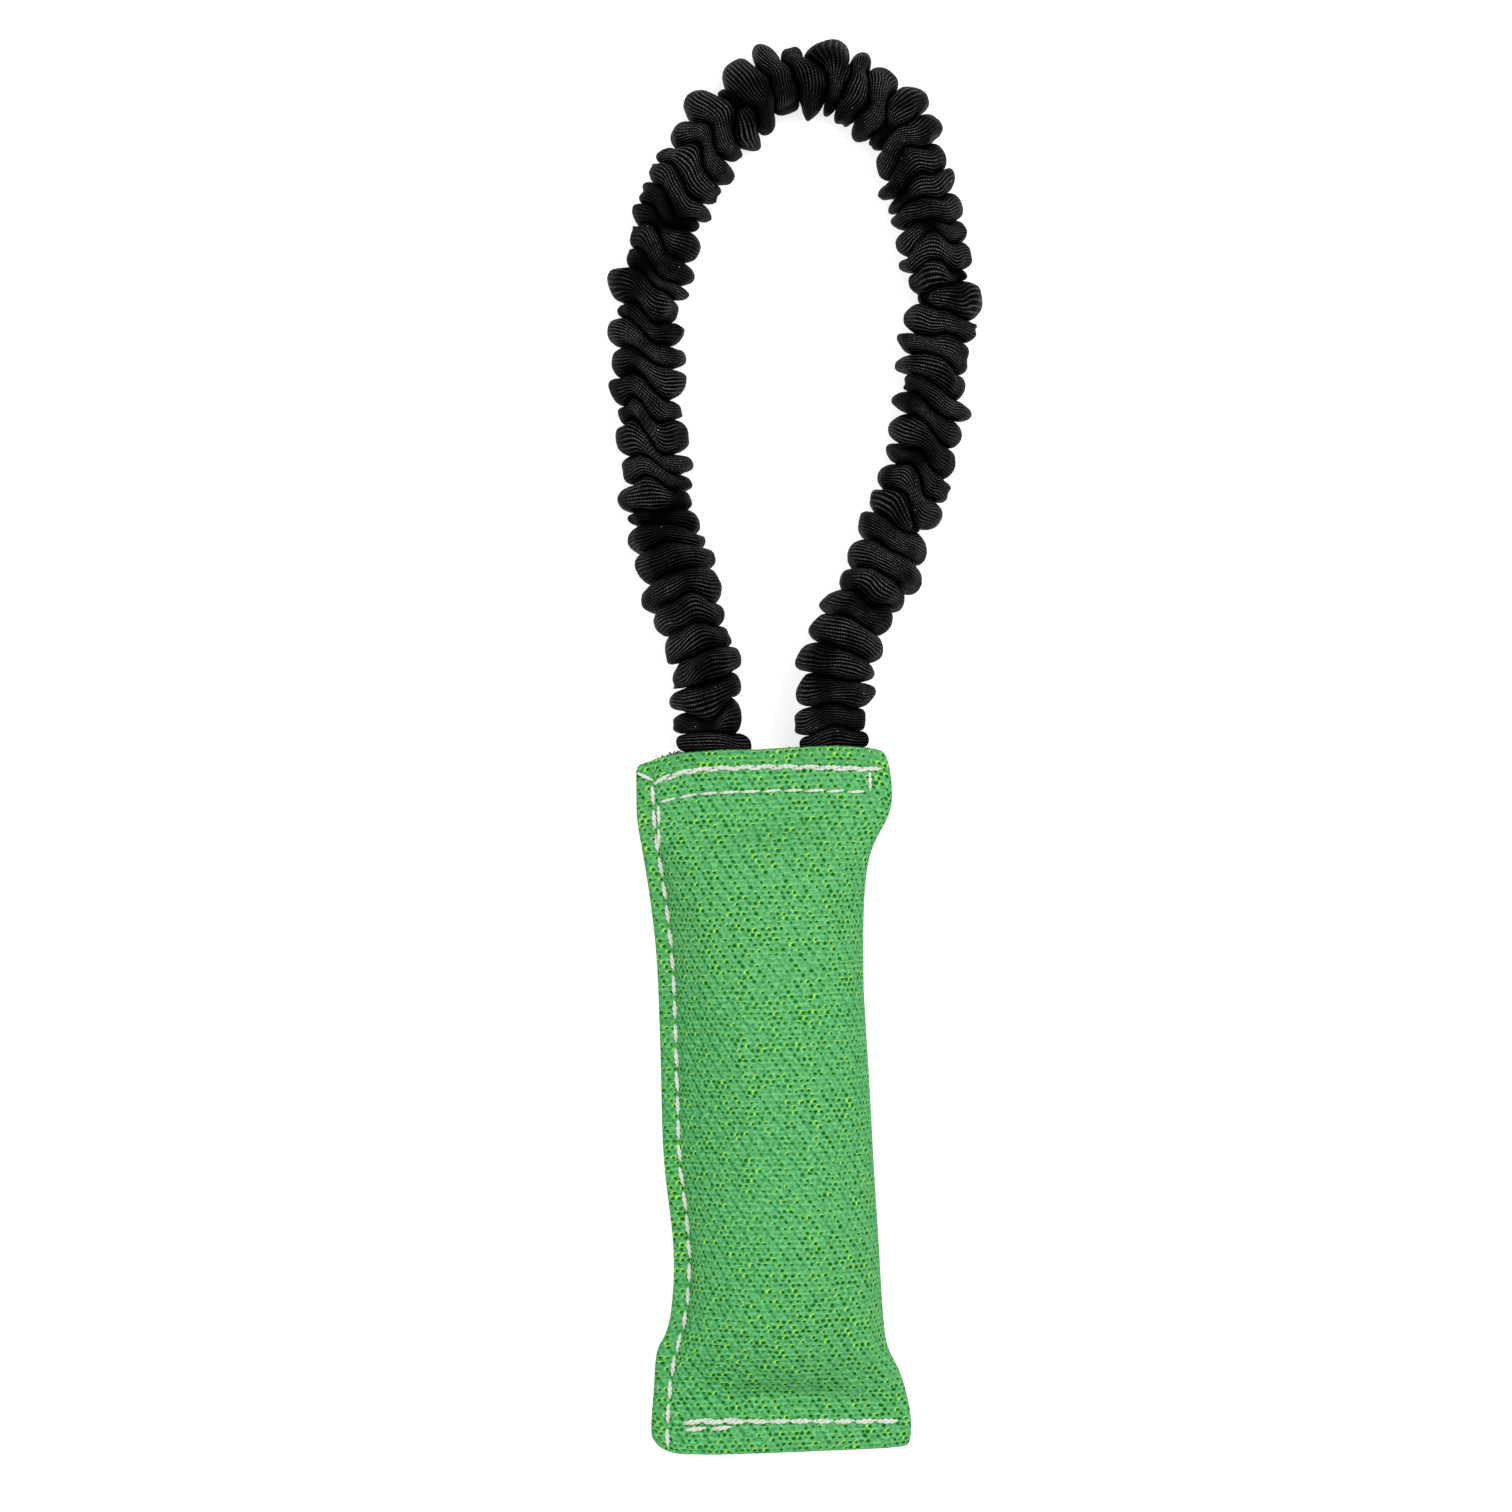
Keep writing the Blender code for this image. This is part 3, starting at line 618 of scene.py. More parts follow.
def fray_material():
    """Dull nylon yarn, nearly black, with a blue tinge where it catches the light."""
    material, tree, shader = new_finish("frayed_yarn", 0.6, 0.2)
    tint = fade(tree, clouds(tree, 1500, 1), 0.4, 0.6)
    colour = blend_colour(tree, tint, (0.0015, 0.0020, 0.0040, 1), (0.012, 0.020, 0.055, 1))
    tree.links.new(colour, shader.inputs["Base Color"])
    return material


frayed_ends = add_piece("frayed_ends", fray_mesh, fray_material())
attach(frayed_ends, "pad")

# The elastic cord in the sleeve's bore: rubber strands in a twisted black cover, 10 mm thick.
# Geometry Nodes lay its fluted round along the route, flattened where the mouth is sewn shut.
elastic_width = 0.0100
elastic_step = 0.004
pressed_wider = 0.68
pressed_thinner = 0.72


def start_tree(name, inputs):
    """A Geometry Nodes tree with named inputs: the tree, their identifiers and their sockets."""
    group = bpy.data.node_groups.new(name, "GeometryNodeTree")
    named = {}
    for label, kind, value in inputs:
        socket = group.interface.new_socket(name=label, in_out="INPUT", socket_type=kind)
        if value is not None:
            socket.default_value = value
        named[label] = socket.identifier
    group.interface.new_socket(name="Geometry", in_out="OUTPUT", socket_type="NodeSocketGeometry")
    return group, named, group.nodes.new("NodeGroupInput").outputs


def end_tree(group, made, material):
    """End a tree: what it made becomes plain geometry in its material."""
    plain = chain(group, "GeometryNodeRealizeInstances", {"Geometry": made})
    dressed = chain(group, "GeometryNodeSetMaterial", {"Geometry": plain, "Material": material})
    chain(group, "NodeGroupOutput", {0: dressed})


def elastic_tree():
    """A fluted round swept along the cord's line, turning on its way as twisted strands do."""
    group, named, given = start_tree("elastic cord", [
        ("Geometry", "NodeSocketGeometry", None),
        ("Cord radius", "NodeSocketFloat", elastic_width / 2),
        ("Strands", "NodeSocketInt", 12),
        ("Strand depth", "NodeSocketFloat", 0.05),
        ("Twist", "NodeSocketFloat", 160.0),
        ("Material", "NodeSocketMaterial", None),
    ])
    line = chain(group, "GeometryNodeMeshToCurve", {"Mesh": given["Geometry"]})
    reach = chain(group, "GeometryNodeSplineParameter").outputs["Length"]
    turned = work_out(group, "MULTIPLY", reach, given["Twist"])
    twisted = chain(group, "GeometryNodeSetCurveTilt", {"Curve": line, "Tilt": turned})
    round_line = chain(
        group, "GeometryNodeCurvePrimitiveCircle",
        {"Resolution": 48, "Radius": given["Cord radius"]},
    )
    share = chain(group, "GeometryNodeSplineParameter").outputs["Factor"]
    flutes = work_out(group, "MULTIPLY", share, given["Strands"])
    wave = work_out(group, "COSINE", work_out(group, "MULTIPLY", flutes, 2 * math.pi))
    sized = work_out(group, "MULTIPLY_ADD", wave, given["Strand depth"], 0.97)
    spot = chain(group, "GeometryNodeInputPosition")
    drawn = chain(group, "ShaderNodeVectorMath", {0: spot, "Scale": sized}, operation="SCALE")
    fluted = chain(group, "GeometryNodeSetPosition", {"Geometry": round_line, "Position": drawn})
    swept = chain(
        group, "GeometryNodeCurveToMesh",
        {"Curve": twisted, "Profile Curve": fluted, "Fill Caps": True},
    )
    end_tree(group, swept, given["Material"])
    return group, named


def elastic_material():
    """The cord's cover: matt black yarn with a finely mottled face."""
    material, tree, shader = new_finish("elastic_cover", 0.6)
    fleck = clouds(tree, 900, 2)
    colour = blend_colour(
        tree, fade(tree, fleck, 0.35, 0.7), (0.010, 0.010, 0.011, 1), (0.050, 0.050, 0.053, 1)
    )
    tree.links.new(colour, shader.inputs["Base Color"])
    raise_by(tree, shader, fleck, 0.0002)
    return material


def grow(name, mesh, group, values):
    """Run a Geometry Nodes tree on a mesh, and keep what it makes as a plain mesh."""
    thing = bpy.data.objects.new(name, mesh)
    bpy.context.scene.collection.objects.link(thing)
    modifier = thing.modifiers.new(name, "NODES")
    modifier.node_group = group
    for identifier, value in values.items():
        modifier[identifier] = value
    bpy.context.view_layer.update()
    grown = thing.evaluated_get(bpy.context.evaluated_depsgraph_get())
    made = bpy.data.meshes.new_from_object(grown)
    thing.modifiers.clear()
    thing.data = made
    made.name = name
    made.shade_smooth()
    return thing


elastic_group, elastic_inputs = elastic_tree()
elastic_finish = elastic_material()
elastic_ends = [-tail_depth + 0.001, *split_places]
elastic_ends += [loop_length - place for place in elastic_ends[::-1]]
for name, start, end in zip(sleeve_pieces, elastic_ends, elastic_ends[1:]):
    count = max(6, round((end - start) / elastic_step))
    spots = along_route(np.linspace(start, end, count + 1))[0]
    line = bpy.data.meshes.new(f"elastic_{name}")
    line.from_pydata(spots.tolist(), [(step, step + 1) for step in range(count)], [])
    piece = grow(
        f"elastic_{name}", line, elastic_group, {elastic_inputs["Material"]: elastic_finish}
    )
    points = np.array([vertex.co for vertex in piece.data.vertices])
    pressed = 1 - ease((points[:, 1] - mouth_y) / round_end)
    leg_x = leg_places[0 if name.startswith("left") else 1]
    points[:, 0] += (points[:, 0] - leg_x) * pressed_wider * pressed
    points[:, 2] -= (points[:, 2] - seam_height) * pressed_thinner * pressed
    piece.data.vertices.foreach_set("co", points.ravel())
    bend_with_loop(piece, name)
    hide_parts(*[f"core_{node}" for node in loop_nodes[name]])

# The cover: one woven green polyester cloth, folded along its right edge, its other edges
# turned in and sewn at the side, the end and the mouth. Loose fibre fills it tight, so that
# it swells between its seams.
pad_outline = [
    (-0.1000, -0.0324, 0.0375), (-0.0910, -0.0322, 0.0376), (-0.0800, -0.0311, 0.0358),
    (-0.0700, -0.0290, 0.0323), (-0.0600, -0.0260, 0.0311), (-0.0420, -0.0248, 0.0300),
    (-0.0150, -0.0270, 0.0283), (0.0150, -0.0272, 0.0273), (0.0400, -0.0276, 0.0271),
    (0.0570, -0.0290, 0.0276), (0.0700, -0.0307, 0.0297), (0.0820, -0.0323, 0.0353),
    (0.0920, -0.0323, 0.0362), (0.1000, -0.0323, 0.0350),
]
top_edge = [
    (-0.0370, -0.0030), (-0.0295, -0.0014), (-0.0257, -0.0006), (-0.0229, -0.0002),
    (-0.0114, 0.0004), (-0.0026, 0.0001), (0.0103, 0.0006), (0.0206, 0.0008),
    (0.0294, -0.0001), (0.0335, -0.0009), (0.0355, -0.0022), (0.0370, -0.0046),
]
end_edge = [
    (-0.0370, 0.0034), (-0.0355, 0.0016), (-0.0335, 0.0006), (-0.0290, -0.0003),
    (-0.0180, -0.0006), (0.0000, -0.0004), (0.0300, 0.0001), (0.0360, 0.0005), (0.0380, 0.0016),
]
half_length = mouth_y
flat_width = 0.0705
side_allowance = 0.0047
end_allowance = 0.0088
mouth_depth = 0.0134
seam_hold_length = 0.021
corner_round = 0.0006
body_columns = 34
pad_rows = 92
fold_bulge = 0.0017
fold_bulge_reach = 0.052
hem_flare = 0.0010
mouth_half_thickness = 0.0036
leg_half_thickness = 0.0015
leg_half_width = 0.0112
end_half_thickness = 0.0021

outline = smooth_line(pad_outline, 12)


def half_thickness_of(half_wide):
    """Half the thickness at which two flat widths of cloth close round ovals this wide."""
    thin = np.zeros_like(half_wide)
    thick = half_wide.copy()
    for _ in range(40):
        middle = (thin + thick) / 2
        unlike = ((half_wide - middle) / (half_wide + middle)) ** 2
        girth = math.pi * (half_wide + middle) * (1 + 3 * unlike / (10 + np.sqrt(4 - 3 * unlike)))
        thin = np.where(girth < 2 * flat_width, middle, thin)
        thick = np.where(girth < 2 * flat_width, thick, middle)
    return thin


def face_line(y):
    """The front face across the pad at one place down it: x, z and the cloth's own measure."""
    seam_x = float(np.interp(y, outline[:, 0], outline[:, 1]))
    fold_x = float(np.interp(y, outline[:, 0], outline[:, 2]))
    fold_x += fold_bulge * math.exp(-((y / fold_bulge_reach) ** 2))
    from_end = half_length - abs(y)
    pull = 0.0
    if from_end < corner_round:
        pull = corner_round - math.sqrt(corner_round**2 - (corner_round - from_end) ** 2)
    outer_x = seam_x - side_allowance + pull
    outer_x -= hem_flare * float(ease((-0.0680 - y) / 0.0015) * ease((y + 0.0830) / 0.0130))
    fold_x -= pull
    if y > 0:
        hold = float(ease((half_length - mouth_depth - y) / seam_hold_length))
        square = 3.4
    else:
        hold = float(ease((half_length - end_allowance + y) / seam_hold_length))
        square = 3.0
    half_wide = (fold_x - seam_x) / 2
    full = float(half_thickness_of(np.array([half_wide]))[0])
    square = square + (2 - square) * hold
    middle = (fold_x + seam_x) / 2
    turn = np.linspace(0, math.pi, 400)
    across = -np.cos(turn)
    across = np.sign(across) * np.abs(across) ** (2 / square)
    lift = np.sin(turn) ** (2 / square)
    xs = middle + half_wide * across
    legs = sum(np.exp(-(((xs - leg_x) / leg_half_width) ** 4)) for leg_x in leg_places)
    if y > 0:
        sewn = mouth_half_thickness + leg_half_thickness * legs
    else:
        sewn = np.full_like(xs, end_half_thickness)
    zs = lift * (sewn + (full - sewn) * hold)
    run = np.concatenate([[0], np.cumsum(np.hypot(np.diff(xs), np.diff(zs)))])
    evenly = np.linspace(0, run[-1], body_columns + 1)
    body_x = np.interp(evenly, run, xs)
    body_z = np.maximum(np.interp(evenly, run, zs), 0.0010)
    body_z[-1] = 0
    hem_share = np.array([0.0, 0.10, 0.34, 0.66, 0.88])
    hem_x = outer_x + (seam_x - outer_x) * hem_share
    hem_z = np.array([0.0002, 0.0012, 0.0018, 0.00185, 0.0015])
    cloth = np.concatenate([-side_allowance * (1 - hem_share), flat_width * evenly / run[-1]])
    return np.concatenate([hem_x, body_x]), np.concatenate([hem_z, body_z]), cloth


row_places = np.linspace(-half_length, half_length, pad_rows)
faces_across = [face_line(y) for y in row_places]
columns = len(faces_across[0][0])
lip = 0.0023


def whole_ring(y, xs, zs, inset, forward):
    """A ring round the pad from its front face and its back face, which is the same mirrored."""
    shift = np.interp(xs, *np.array(top_edge).T) * float(ease((y - 0.070) / 0.030))
    shift += np.interp(xs, *np.array(end_edge).T) * float(ease((-0.084 - y) / 0.016))
    seam_x = xs[5]
    inner_x = np.clip(xs, seam_x + 0.8 * inset, xs[-1] - 1.1 * inset) if inset else xs
    inner_z = np.maximum(zs - inset, 0.0002 * (np.arange(columns) < columns - 1))
    front = np.column_stack([inner_x, y + shift + forward, seam_height + inner_z])
    back = np.column_stack([inner_x, y + shift + forward, seam_height - inner_z])
    return np.vstack([front, back[-2::-1]])


pad_rings = []
cloth_down = []
for y, (xs, zs, cloth) in zip(row_places, faces_across):
    at_end = abs(y) > half_length - 0.0001
    pad_rings.append(whole_ring(y, xs, zs - 0.0005 * at_end * (zs > 0.001), 0, 0))
    cloth_down.append(y)
for inset, forward in ((0.0012, 0.0003), (lip, -0.0007), (lip, -0.0040), (lip, -0.0120)):
    pad_rings.append(whole_ring(half_length, *faces_across[-1][:2], inset, forward))
    cloth_down.append(half_length + 0.0015 - forward)
for inset, forward in ((0.0010, -0.0003), (0.0019, 0.0006), (0.0019, 0.0030)):
    pad_rings.insert(0, whole_ring(-half_length, *faces_across[0][:2], inset, forward))
    cloth_down.insert(0, -half_length - 0.0015 - forward)
pad_points = np.array(pad_rings)
cloth_across = np.concatenate([faces_across[0][2], 2 * flat_width - faces_across[0][2][-2::-1]])
ring_size = pad_points.shape[1]

cover_mesh = tube_mesh("cover_cloth", pad_points, cloth_down, 1, "cloth")
layer = cover_mesh.uv_layers["cloth"].data
values = np.zeros(len(cover_mesh.loops) * 2, np.float32)
layer.foreach_get("uv", values)
values = values.reshape(-1, 2)
around_ring = np.round(values[:, 0] * ring_size).astype(int)
cloth_girth = np.append(cloth_across, 2 * flat_width + side_allowance + 0.0002)
values[:, 0] = cloth_girth[np.clip(around_ring, 0, ring_size)]
layer.foreach_set("uv", values.ravel())
cover = add_piece("cover_cloth", cover_mesh, black_webbing)


def swell_cloth(thing, pinned, cap):
    """Blow a cloth up between its sewn points, which stay, and keep the swollen shape."""
    rest = np.array([vertex.co for vertex in thing.data.vertices])
    sewn = thing.vertex_groups.new(name="sewn")
    sewn.add([int(number) for number in np.flatnonzero(pinned)], 1.0, "REPLACE")
    modifier = thing.modifiers.new("swell", "CLOTH")
    settings = modifier.settings
    settings.quality = 6
    settings.mass = 0.3
    settings.tension_stiffness = 30
    settings.compression_stiffness = 30
    settings.shear_stiffness = 12
    settings.bending_stiffness = 0.8
    settings.vertex_group_mass = "sewn"
    settings.use_pressure = True
    settings.uniform_pressure_force = 4
    settings.shrink_min = -0.006
    settings.effector_weights.gravity = 0
    modifier.collision_settings.use_collision = False
    scene = bpy.context.scene
    for step in range(1, 21):
        scene.frame_set(step)
    swollen = thing.evaluated_get(bpy.context.evaluated_depsgraph_get())
    moved = np.array([vertex.co for vertex in swollen.data.vertices]) - rest
    far = np.linalg.norm(moved, axis=1, keepdims=True)
    moved = moved * np.minimum(1, cap / np.maximum(far, 1e-9))
    thing.modifiers.remove(modifier)
    thing.vertex_groups.remove(sewn)
    scene.frame_set(1)
    thing.data.vertices.foreach_set("co", (rest + moved).ravel())
    thing.data.update()


rest_points = pad_points.reshape(-1, 3)
ring_place = np.tile(np.arange(ring_size), len(pad_points))
hem_columns = (ring_place <= 5) | (ring_place >= ring_size - 6)
ends = (rest_points[:, 1] > 0.0862) | (rest_points[:, 1] < -0.0908)
swell_cloth(cover, hem_columns | ends, 0.0016)

# The seams' paths over the cover, as they are sewn: x and y of each thread's turns. The cloth
# is drawn in along them, and the stitches are set on them once the cover is done.
side_seam = [
    (-0.0323, 0.0913), (-0.0322, 0.0850), (-0.0320, 0.0790), (-0.0308, 0.0700),
    (-0.0290, 0.0560), (-0.0277, 0.0400), (-0.0273, 0.0200), (-0.0272, 0.0000), (-0.0270, -0.0160),
    (-0.0256, -0.0300), (-0.0248, -0.0420), (-0.0253, -0.0530), (-0.0264, -0.0620),
    (-0.0288, -0.0690), (-0.0310, -0.0790), (-0.0322, -0.0900), (-0.0324, -0.0990),
]
side_start = [(-0.0365, 0.0947), (-0.0321, 0.0917)]
side_backtack = [(-0.0308, 0.0856), (-0.0308, 0.0800), (-0.0307, 0.0760), (-0.0308, 0.0722)]
end_seam = [(-0.0281, -0.0911), (0.0000, -0.0915), (0.0335, -0.0922)]
end_start = [(-0.0281, -0.0911), (-0.0070, -0.0913)]
end_backtack = [(-0.0281, -0.0932), (-0.0134, -0.0930)]
outer_row = [
    (-0.0326, 0.0910), (-0.0285, 0.0928), (-0.0240, 0.0942), (-0.0180, 0.0951), (-0.0100, 0.0952),
    (0.0000, 0.0953), (0.0110, 0.0950), (0.0220, 0.0944), (0.0336, 0.0938),
]
end_bar = [(0.0298, 0.0934), (0.0296, 0.0872)]
inner_row = [
    (0.0288, 0.0874), (0.0163, 0.0881), (0.0050, 0.0884), (-0.0080, 0.0883), (-0.0200, 0.0879),
    (-0.0263, 0.0868), (-0.0312, 0.0857),
]
stitch_pitch = 0.0069
cross_pitch = 0.0062


def seam_spots(knots):
    """Evenly spaced stitch holes along a seam, and its line between them."""
    line = smooth_line(knots, 16) if len(knots) > 2 else np.array(knots)
    run = np.concatenate([[0], np.cumsum(np.linalg.norm(np.diff(line, axis=0), axis=1))])
    far_x, far_y = np.abs(line[-1] - line[0])
    count = max(1, round(run[-1] / (cross_pitch if far_x > far_y else stitch_pitch)))
    return line, run, count


def dents_at(xs, ys):
    """How deep the stuffed front is dented at each place: beside the seams and where it is thin."""
    depths = np.zeros(len(xs))
    for place_x, place_y, reach_x, reach_y, turn, depth in (
        (0.0010, -0.0856, 0.0190, 0.0046, 0, 0.0038),
        (-0.0170, -0.0800, 0.0060, 0.0030, 30, 0.0008),
        (0.0230, -0.0790, 0.0075, 0.0030, -35, 0.0009),
        (-0.0215, 0.0730, 0.0060, 0.0022, -38, 0.0006),
        (0.0240, 0.0740, 0.0080, 0.0024, 40, 0.0009),
        (0.0020, 0.0800, 0.0150, 0.0036, 3, 0.0006),
        (0.0120, 0.0330, 0.0110, 0.0210, 12, 0.0007),
        (-0.0080, -0.0280, 0.0100, 0.0180, -8, 0.0006),
    ):
        turn = math.radians(turn)
        right, up = xs - place_x, ys - place_y
        along = (right * math.cos(turn) + up * math.sin(turn)) / reach_x
        beside = (up * math.cos(turn) - right * math.sin(turn)) / reach_y
        depths += depth * np.exp(-(along**2) - beside**2)
    return depths


# The cloth is cut finer, drawn in along each seam and puckered at each stitch hole. Its
# front is dented where the fibre is thin, and its back is pressed flat on the floor.
finer = cover.modifiers.new("finer", "SUBSURF")
finer.levels = 2
finer.render_levels = 2
bpy.context.view_layer.update()
fine_mesh = bpy.data.meshes.new_from_object(
    cover.evaluated_get(bpy.context.evaluated_depsgraph_get())
)
cover.modifiers.clear()
cover.data = fine_mesh
fine_mesh.name = "cover_cloth"
line_samples = 400
groove_half_width = 0.0011
pucker_reach = 0.0045
least_height = 0.0004
points = np.zeros(len(fine_mesh.vertices) * 3, np.float32)
fine_mesh.vertices.foreach_get("co", points)
points = points.reshape(-1, 3).astype(float)
facing = np.sign(points[:, 2] - seam_height)
drawn = np.zeros(len(points))
for knots, depth, ripple in (
    (side_seam, 0.0003, 0.00018),
    (end_seam, 0.0005, 0.00030),
    (end_backtack, 0.0004, 0),
    (outer_row, 0.0004, 0.00022),
    (inner_row, 0.0005, 0.00032),
):
    line, run, count = seam_spots(knots)
    near = np.abs(points[:, 1] - line[:, 1].mean()) < np.ptp(line[:, 1]) / 2 + 0.012
    picked = np.flatnonzero(near)
    fine_line = np.column_stack(
        [np.interp(np.linspace(0, run[-1], line_samples), run, line[:, axis]) for axis in range(2)]
    )
    gaps = np.linalg.norm(points[picked, None, :2] - fine_line[None], axis=2)
    nearest = gaps.argmin(1)
    away = gaps[np.arange(len(picked)), nearest]
    wave = np.cos(2 * math.pi * count * nearest / (line_samples - 1))
    pull = depth * np.exp(-((away / groove_half_width) ** 2)) * (1 + 0.4 * wave)
    pull += ripple * wave * np.exp(-away / pucker_reach)
    drawn[picked] += pull
upper = facing > 0
drawn += upper * dents_at(points[:, 0], points[:, 1])
points[:, 2] -= facing * drawn
points[upper, 2] = np.maximum(points[upper, 2], seam_height + 0.0003)
low = points[:, 2] < 2 * least_height
points[low, 2] = least_height * np.exp(points[low, 2] / least_height - 2) + least_height
fine_mesh.vertices.foreach_set("co", points.astype(np.float32).ravel())
fine_mesh.update()
fine_mesh.shade_smooth()


def cloth_material():
    """Green polyester in a steep, loose twill: pits between the yarns painted dark as shade, with
    glints painted bright as highlights on their lips.
    """
    material, tree, shader = new_finish("green_cloth", 0.68, 0.08)
    across, down, pair = cloth_map(tree, "cloth")
    uneven = work_out(tree, "SUBTRACT", clouds(tree, 1, 2, (900, 700, 1), pair), 0.5)
    slack = work_out(tree, "SUBTRACT", clouds(tree, 1, 2, (640, 980, 1), pair), 0.5)
    across = work_out(tree, "MULTIPLY_ADD", uneven, 0.0009, across)
    down = work_out(tree, "MULTIPLY_ADD", slack, 0.0007, down)
    float_length = 0.00368
    float_shift = 0.27
    pick_pitch = 0.00147
    pit_half_width = 0.00060
    pit_half_height = 0.00052

    def pits(shift):
        """How far a point is from its cell's pit, how near its lip, and two random values."""
        v = work_out(tree, "MULTIPLY", down, 1 / pick_pitch)
        row = work_out(tree, "FLOOR", v)
        u = work_out(tree, "MULTIPLY_ADD", across, 1 / float_length, shift)
        u = work_out(tree, "MULTIPLY_ADD", row, float_shift, u)
        cell = work_out(tree, "FLOOR", u)
        red, green, blue, other = luck_of(tree, cell, row)
        right = work_out(tree, "SUBTRACT", work_out(tree, "FRACT", u), 0.5)
        right = work_out(tree, "ADD", right, work_out(tree, "MULTIPLY_ADD", red, 0.16, -0.08))
        up = work_out(tree, "SUBTRACT", work_out(tree, "FRACT", v), 0.5)
        up = work_out(tree, "ADD", up, work_out(tree, "MULTIPLY_ADD", green, 0.34, -0.17))
        right = work_out(tree, "MULTIPLY", right, float_length / pit_half_width)
        up = work_out(tree, "MULTIPLY", up, pick_pitch / pit_half_height)
        square = work_out(tree, "MULTIPLY_ADD", right, right, work_out(tree, "MULTIPLY", up, up))
        away = work_out(tree, "SQRT", square)
        lean = work_out(tree, "MULTIPLY_ADD", green, -1.2, 0.1)
        lip = work_out(tree, "MULTIPLY", right, lean)
        lip = work_out(tree, "MULTIPLY_ADD", up, 0.75, lip)
        lip = work_out(tree, "DIVIDE", lip, work_out(tree, "MAXIMUM", away, 0.1))
        return away, lip, blue, other

    # How strongly the painted pits and glints show, weaker or stronger in patches at random.
    pit_and_glint_strength = fade(tree, clouds(tree, 34, 2), 0.36, 0.56, 0.80, 1.0)
    # Near the mouth's hem and on the side flange, the cloth is darker and has more of the painted
    # glints.
    hem = fade(tree, down, 0.0935, 0.0950, 0.0, 0.30)
    hem = work_out(tree, "MAXIMUM", hem, fade(tree, across, -0.0002, -0.0012, 0.0, 0.30))
    # One full lattice of pits, and a sparse one halfway between. The pits are painted shade in the
    # weave's holes, and the glints are painted highlights on their lips.
    pit, glint = 0.0, 0.0
    for shift, shown_from, shown_to, bright_from, bright_to in (
        (0, -0.10, 0.22, 0.20, 0.78), (0.5, 0.62, 0.90, 0.90, 1.20)
    ):
        hollow, lip, luck, other = pits(shift)
        away = work_out(tree, "DIVIDE", hollow, work_out(tree, "MULTIPLY_ADD", other, 0.45, 0.72))
        shows = work_out(tree, "MULTIPLY", fade(tree, luck, shown_from, shown_to), pit_and_glint_strength)
        hole = work_out(tree, "MULTIPLY", fade(tree, away, 1.15, 0.60), shows)
        ring = work_out(tree, "ABSOLUTE", work_out(tree, "SUBTRACT", away, 1.15))
        shine = fade(tree, ring, 0.62, 0.20)
        shine = work_out(tree, "MULTIPLY", shine, fade(tree, lip, 0.05, 0.70))
        chance = fade(tree, work_out(tree, "ADD", luck, hem), bright_from, bright_to)
        shine = work_out(tree, "MULTIPLY", shine, work_out(tree, "MULTIPLY", chance, pit_and_glint_strength))
        pit = work_out(tree, "MAXIMUM", hole, pit)
        glint = work_out(tree, "MAXIMUM", shine, glint)
    # The faint pits of the sparse lattice, painted as shade.
    faint = work_out(tree, "MULTIPLY_ADD", luck, 0.50, 0.52)
    faint = work_out(tree, "MULTIPLY", fade(tree, hollow, 1.20, 0.50), faint)

    yarn = clouds(tree, 1, 3, (1300, 700, 1), pair)
    pick = clouds(tree, 1, 2, (420, 1500, 1), pair)
    tone = work_out(tree, "MULTIPLY_ADD", yarn, 0.5, work_out(tree, "MULTIPLY", pick, 0.5))
    base = blend_colour(
        tree, fade(tree, tone, 0.37, 0.63), (0.086, 0.420, 0.134, 1), (0.216, 0.740, 0.270, 1)
    )
    # Painted shade in short dashes in the gaps between picks, along the twill's diagonal grooves
    # (deeper towards the side seam) and in the faint pits.
    v = work_out(tree, "FRACT", work_out(tree, "MULTIPLY", down, 1 / pick_pitch))
    edge = work_out(tree, "ABSOLUTE", work_out(tree, "SUBTRACT", v, 0.5))
    dash = fade(tree, clouds(tree, 1, 1, (620, 500, 1), pair), 0.40, 0.60, 0.15, 1.0)
    dash = work_out(tree, "MULTIPLY", fade(tree, edge, 0.24, 0.06), dash)
    twill = work_out(tree, "MULTIPLY", down, float_shift / pick_pitch)
    twill = work_out(tree, "MULTIPLY_ADD", across, 1 / float_length, twill)
    twill = work_out(tree, "SUBTRACT", work_out(tree, "FRACT", twill), 0.5 + 0.5 * float_shift)
    twill = work_out(tree, "COSINE", work_out(tree, "MULTIPLY", twill, 2 * math.pi))
    deep = fade(tree, across, 0.012, 0.034, 0.64, 0.42)
    groove = work_out(tree, "MULTIPLY", fade(tree, twill, 0.30, 1.0), deep)
    groove = work_out(tree, "MAXIMUM", groove, faint)
    groove = work_out(tree, "MAXIMUM", work_out(tree, "MULTIPLY", dash, 0.40), groove)
    base = blend_colour(tree, groove, base, (0.018, 0.285, 0.060, 1))
    base = blend_colour(tree, work_out(tree, "MULTIPLY", hem, 0.8), base, (0.040, 0.300, 0.080, 1))
    broad = clouds(tree, 16, 2)
    base = blend_colour(
        tree, fade(tree, broad, 0.35, 0.65, 0.0, 0.16), base, (0.200, 0.540, 0.190, 1)
    )
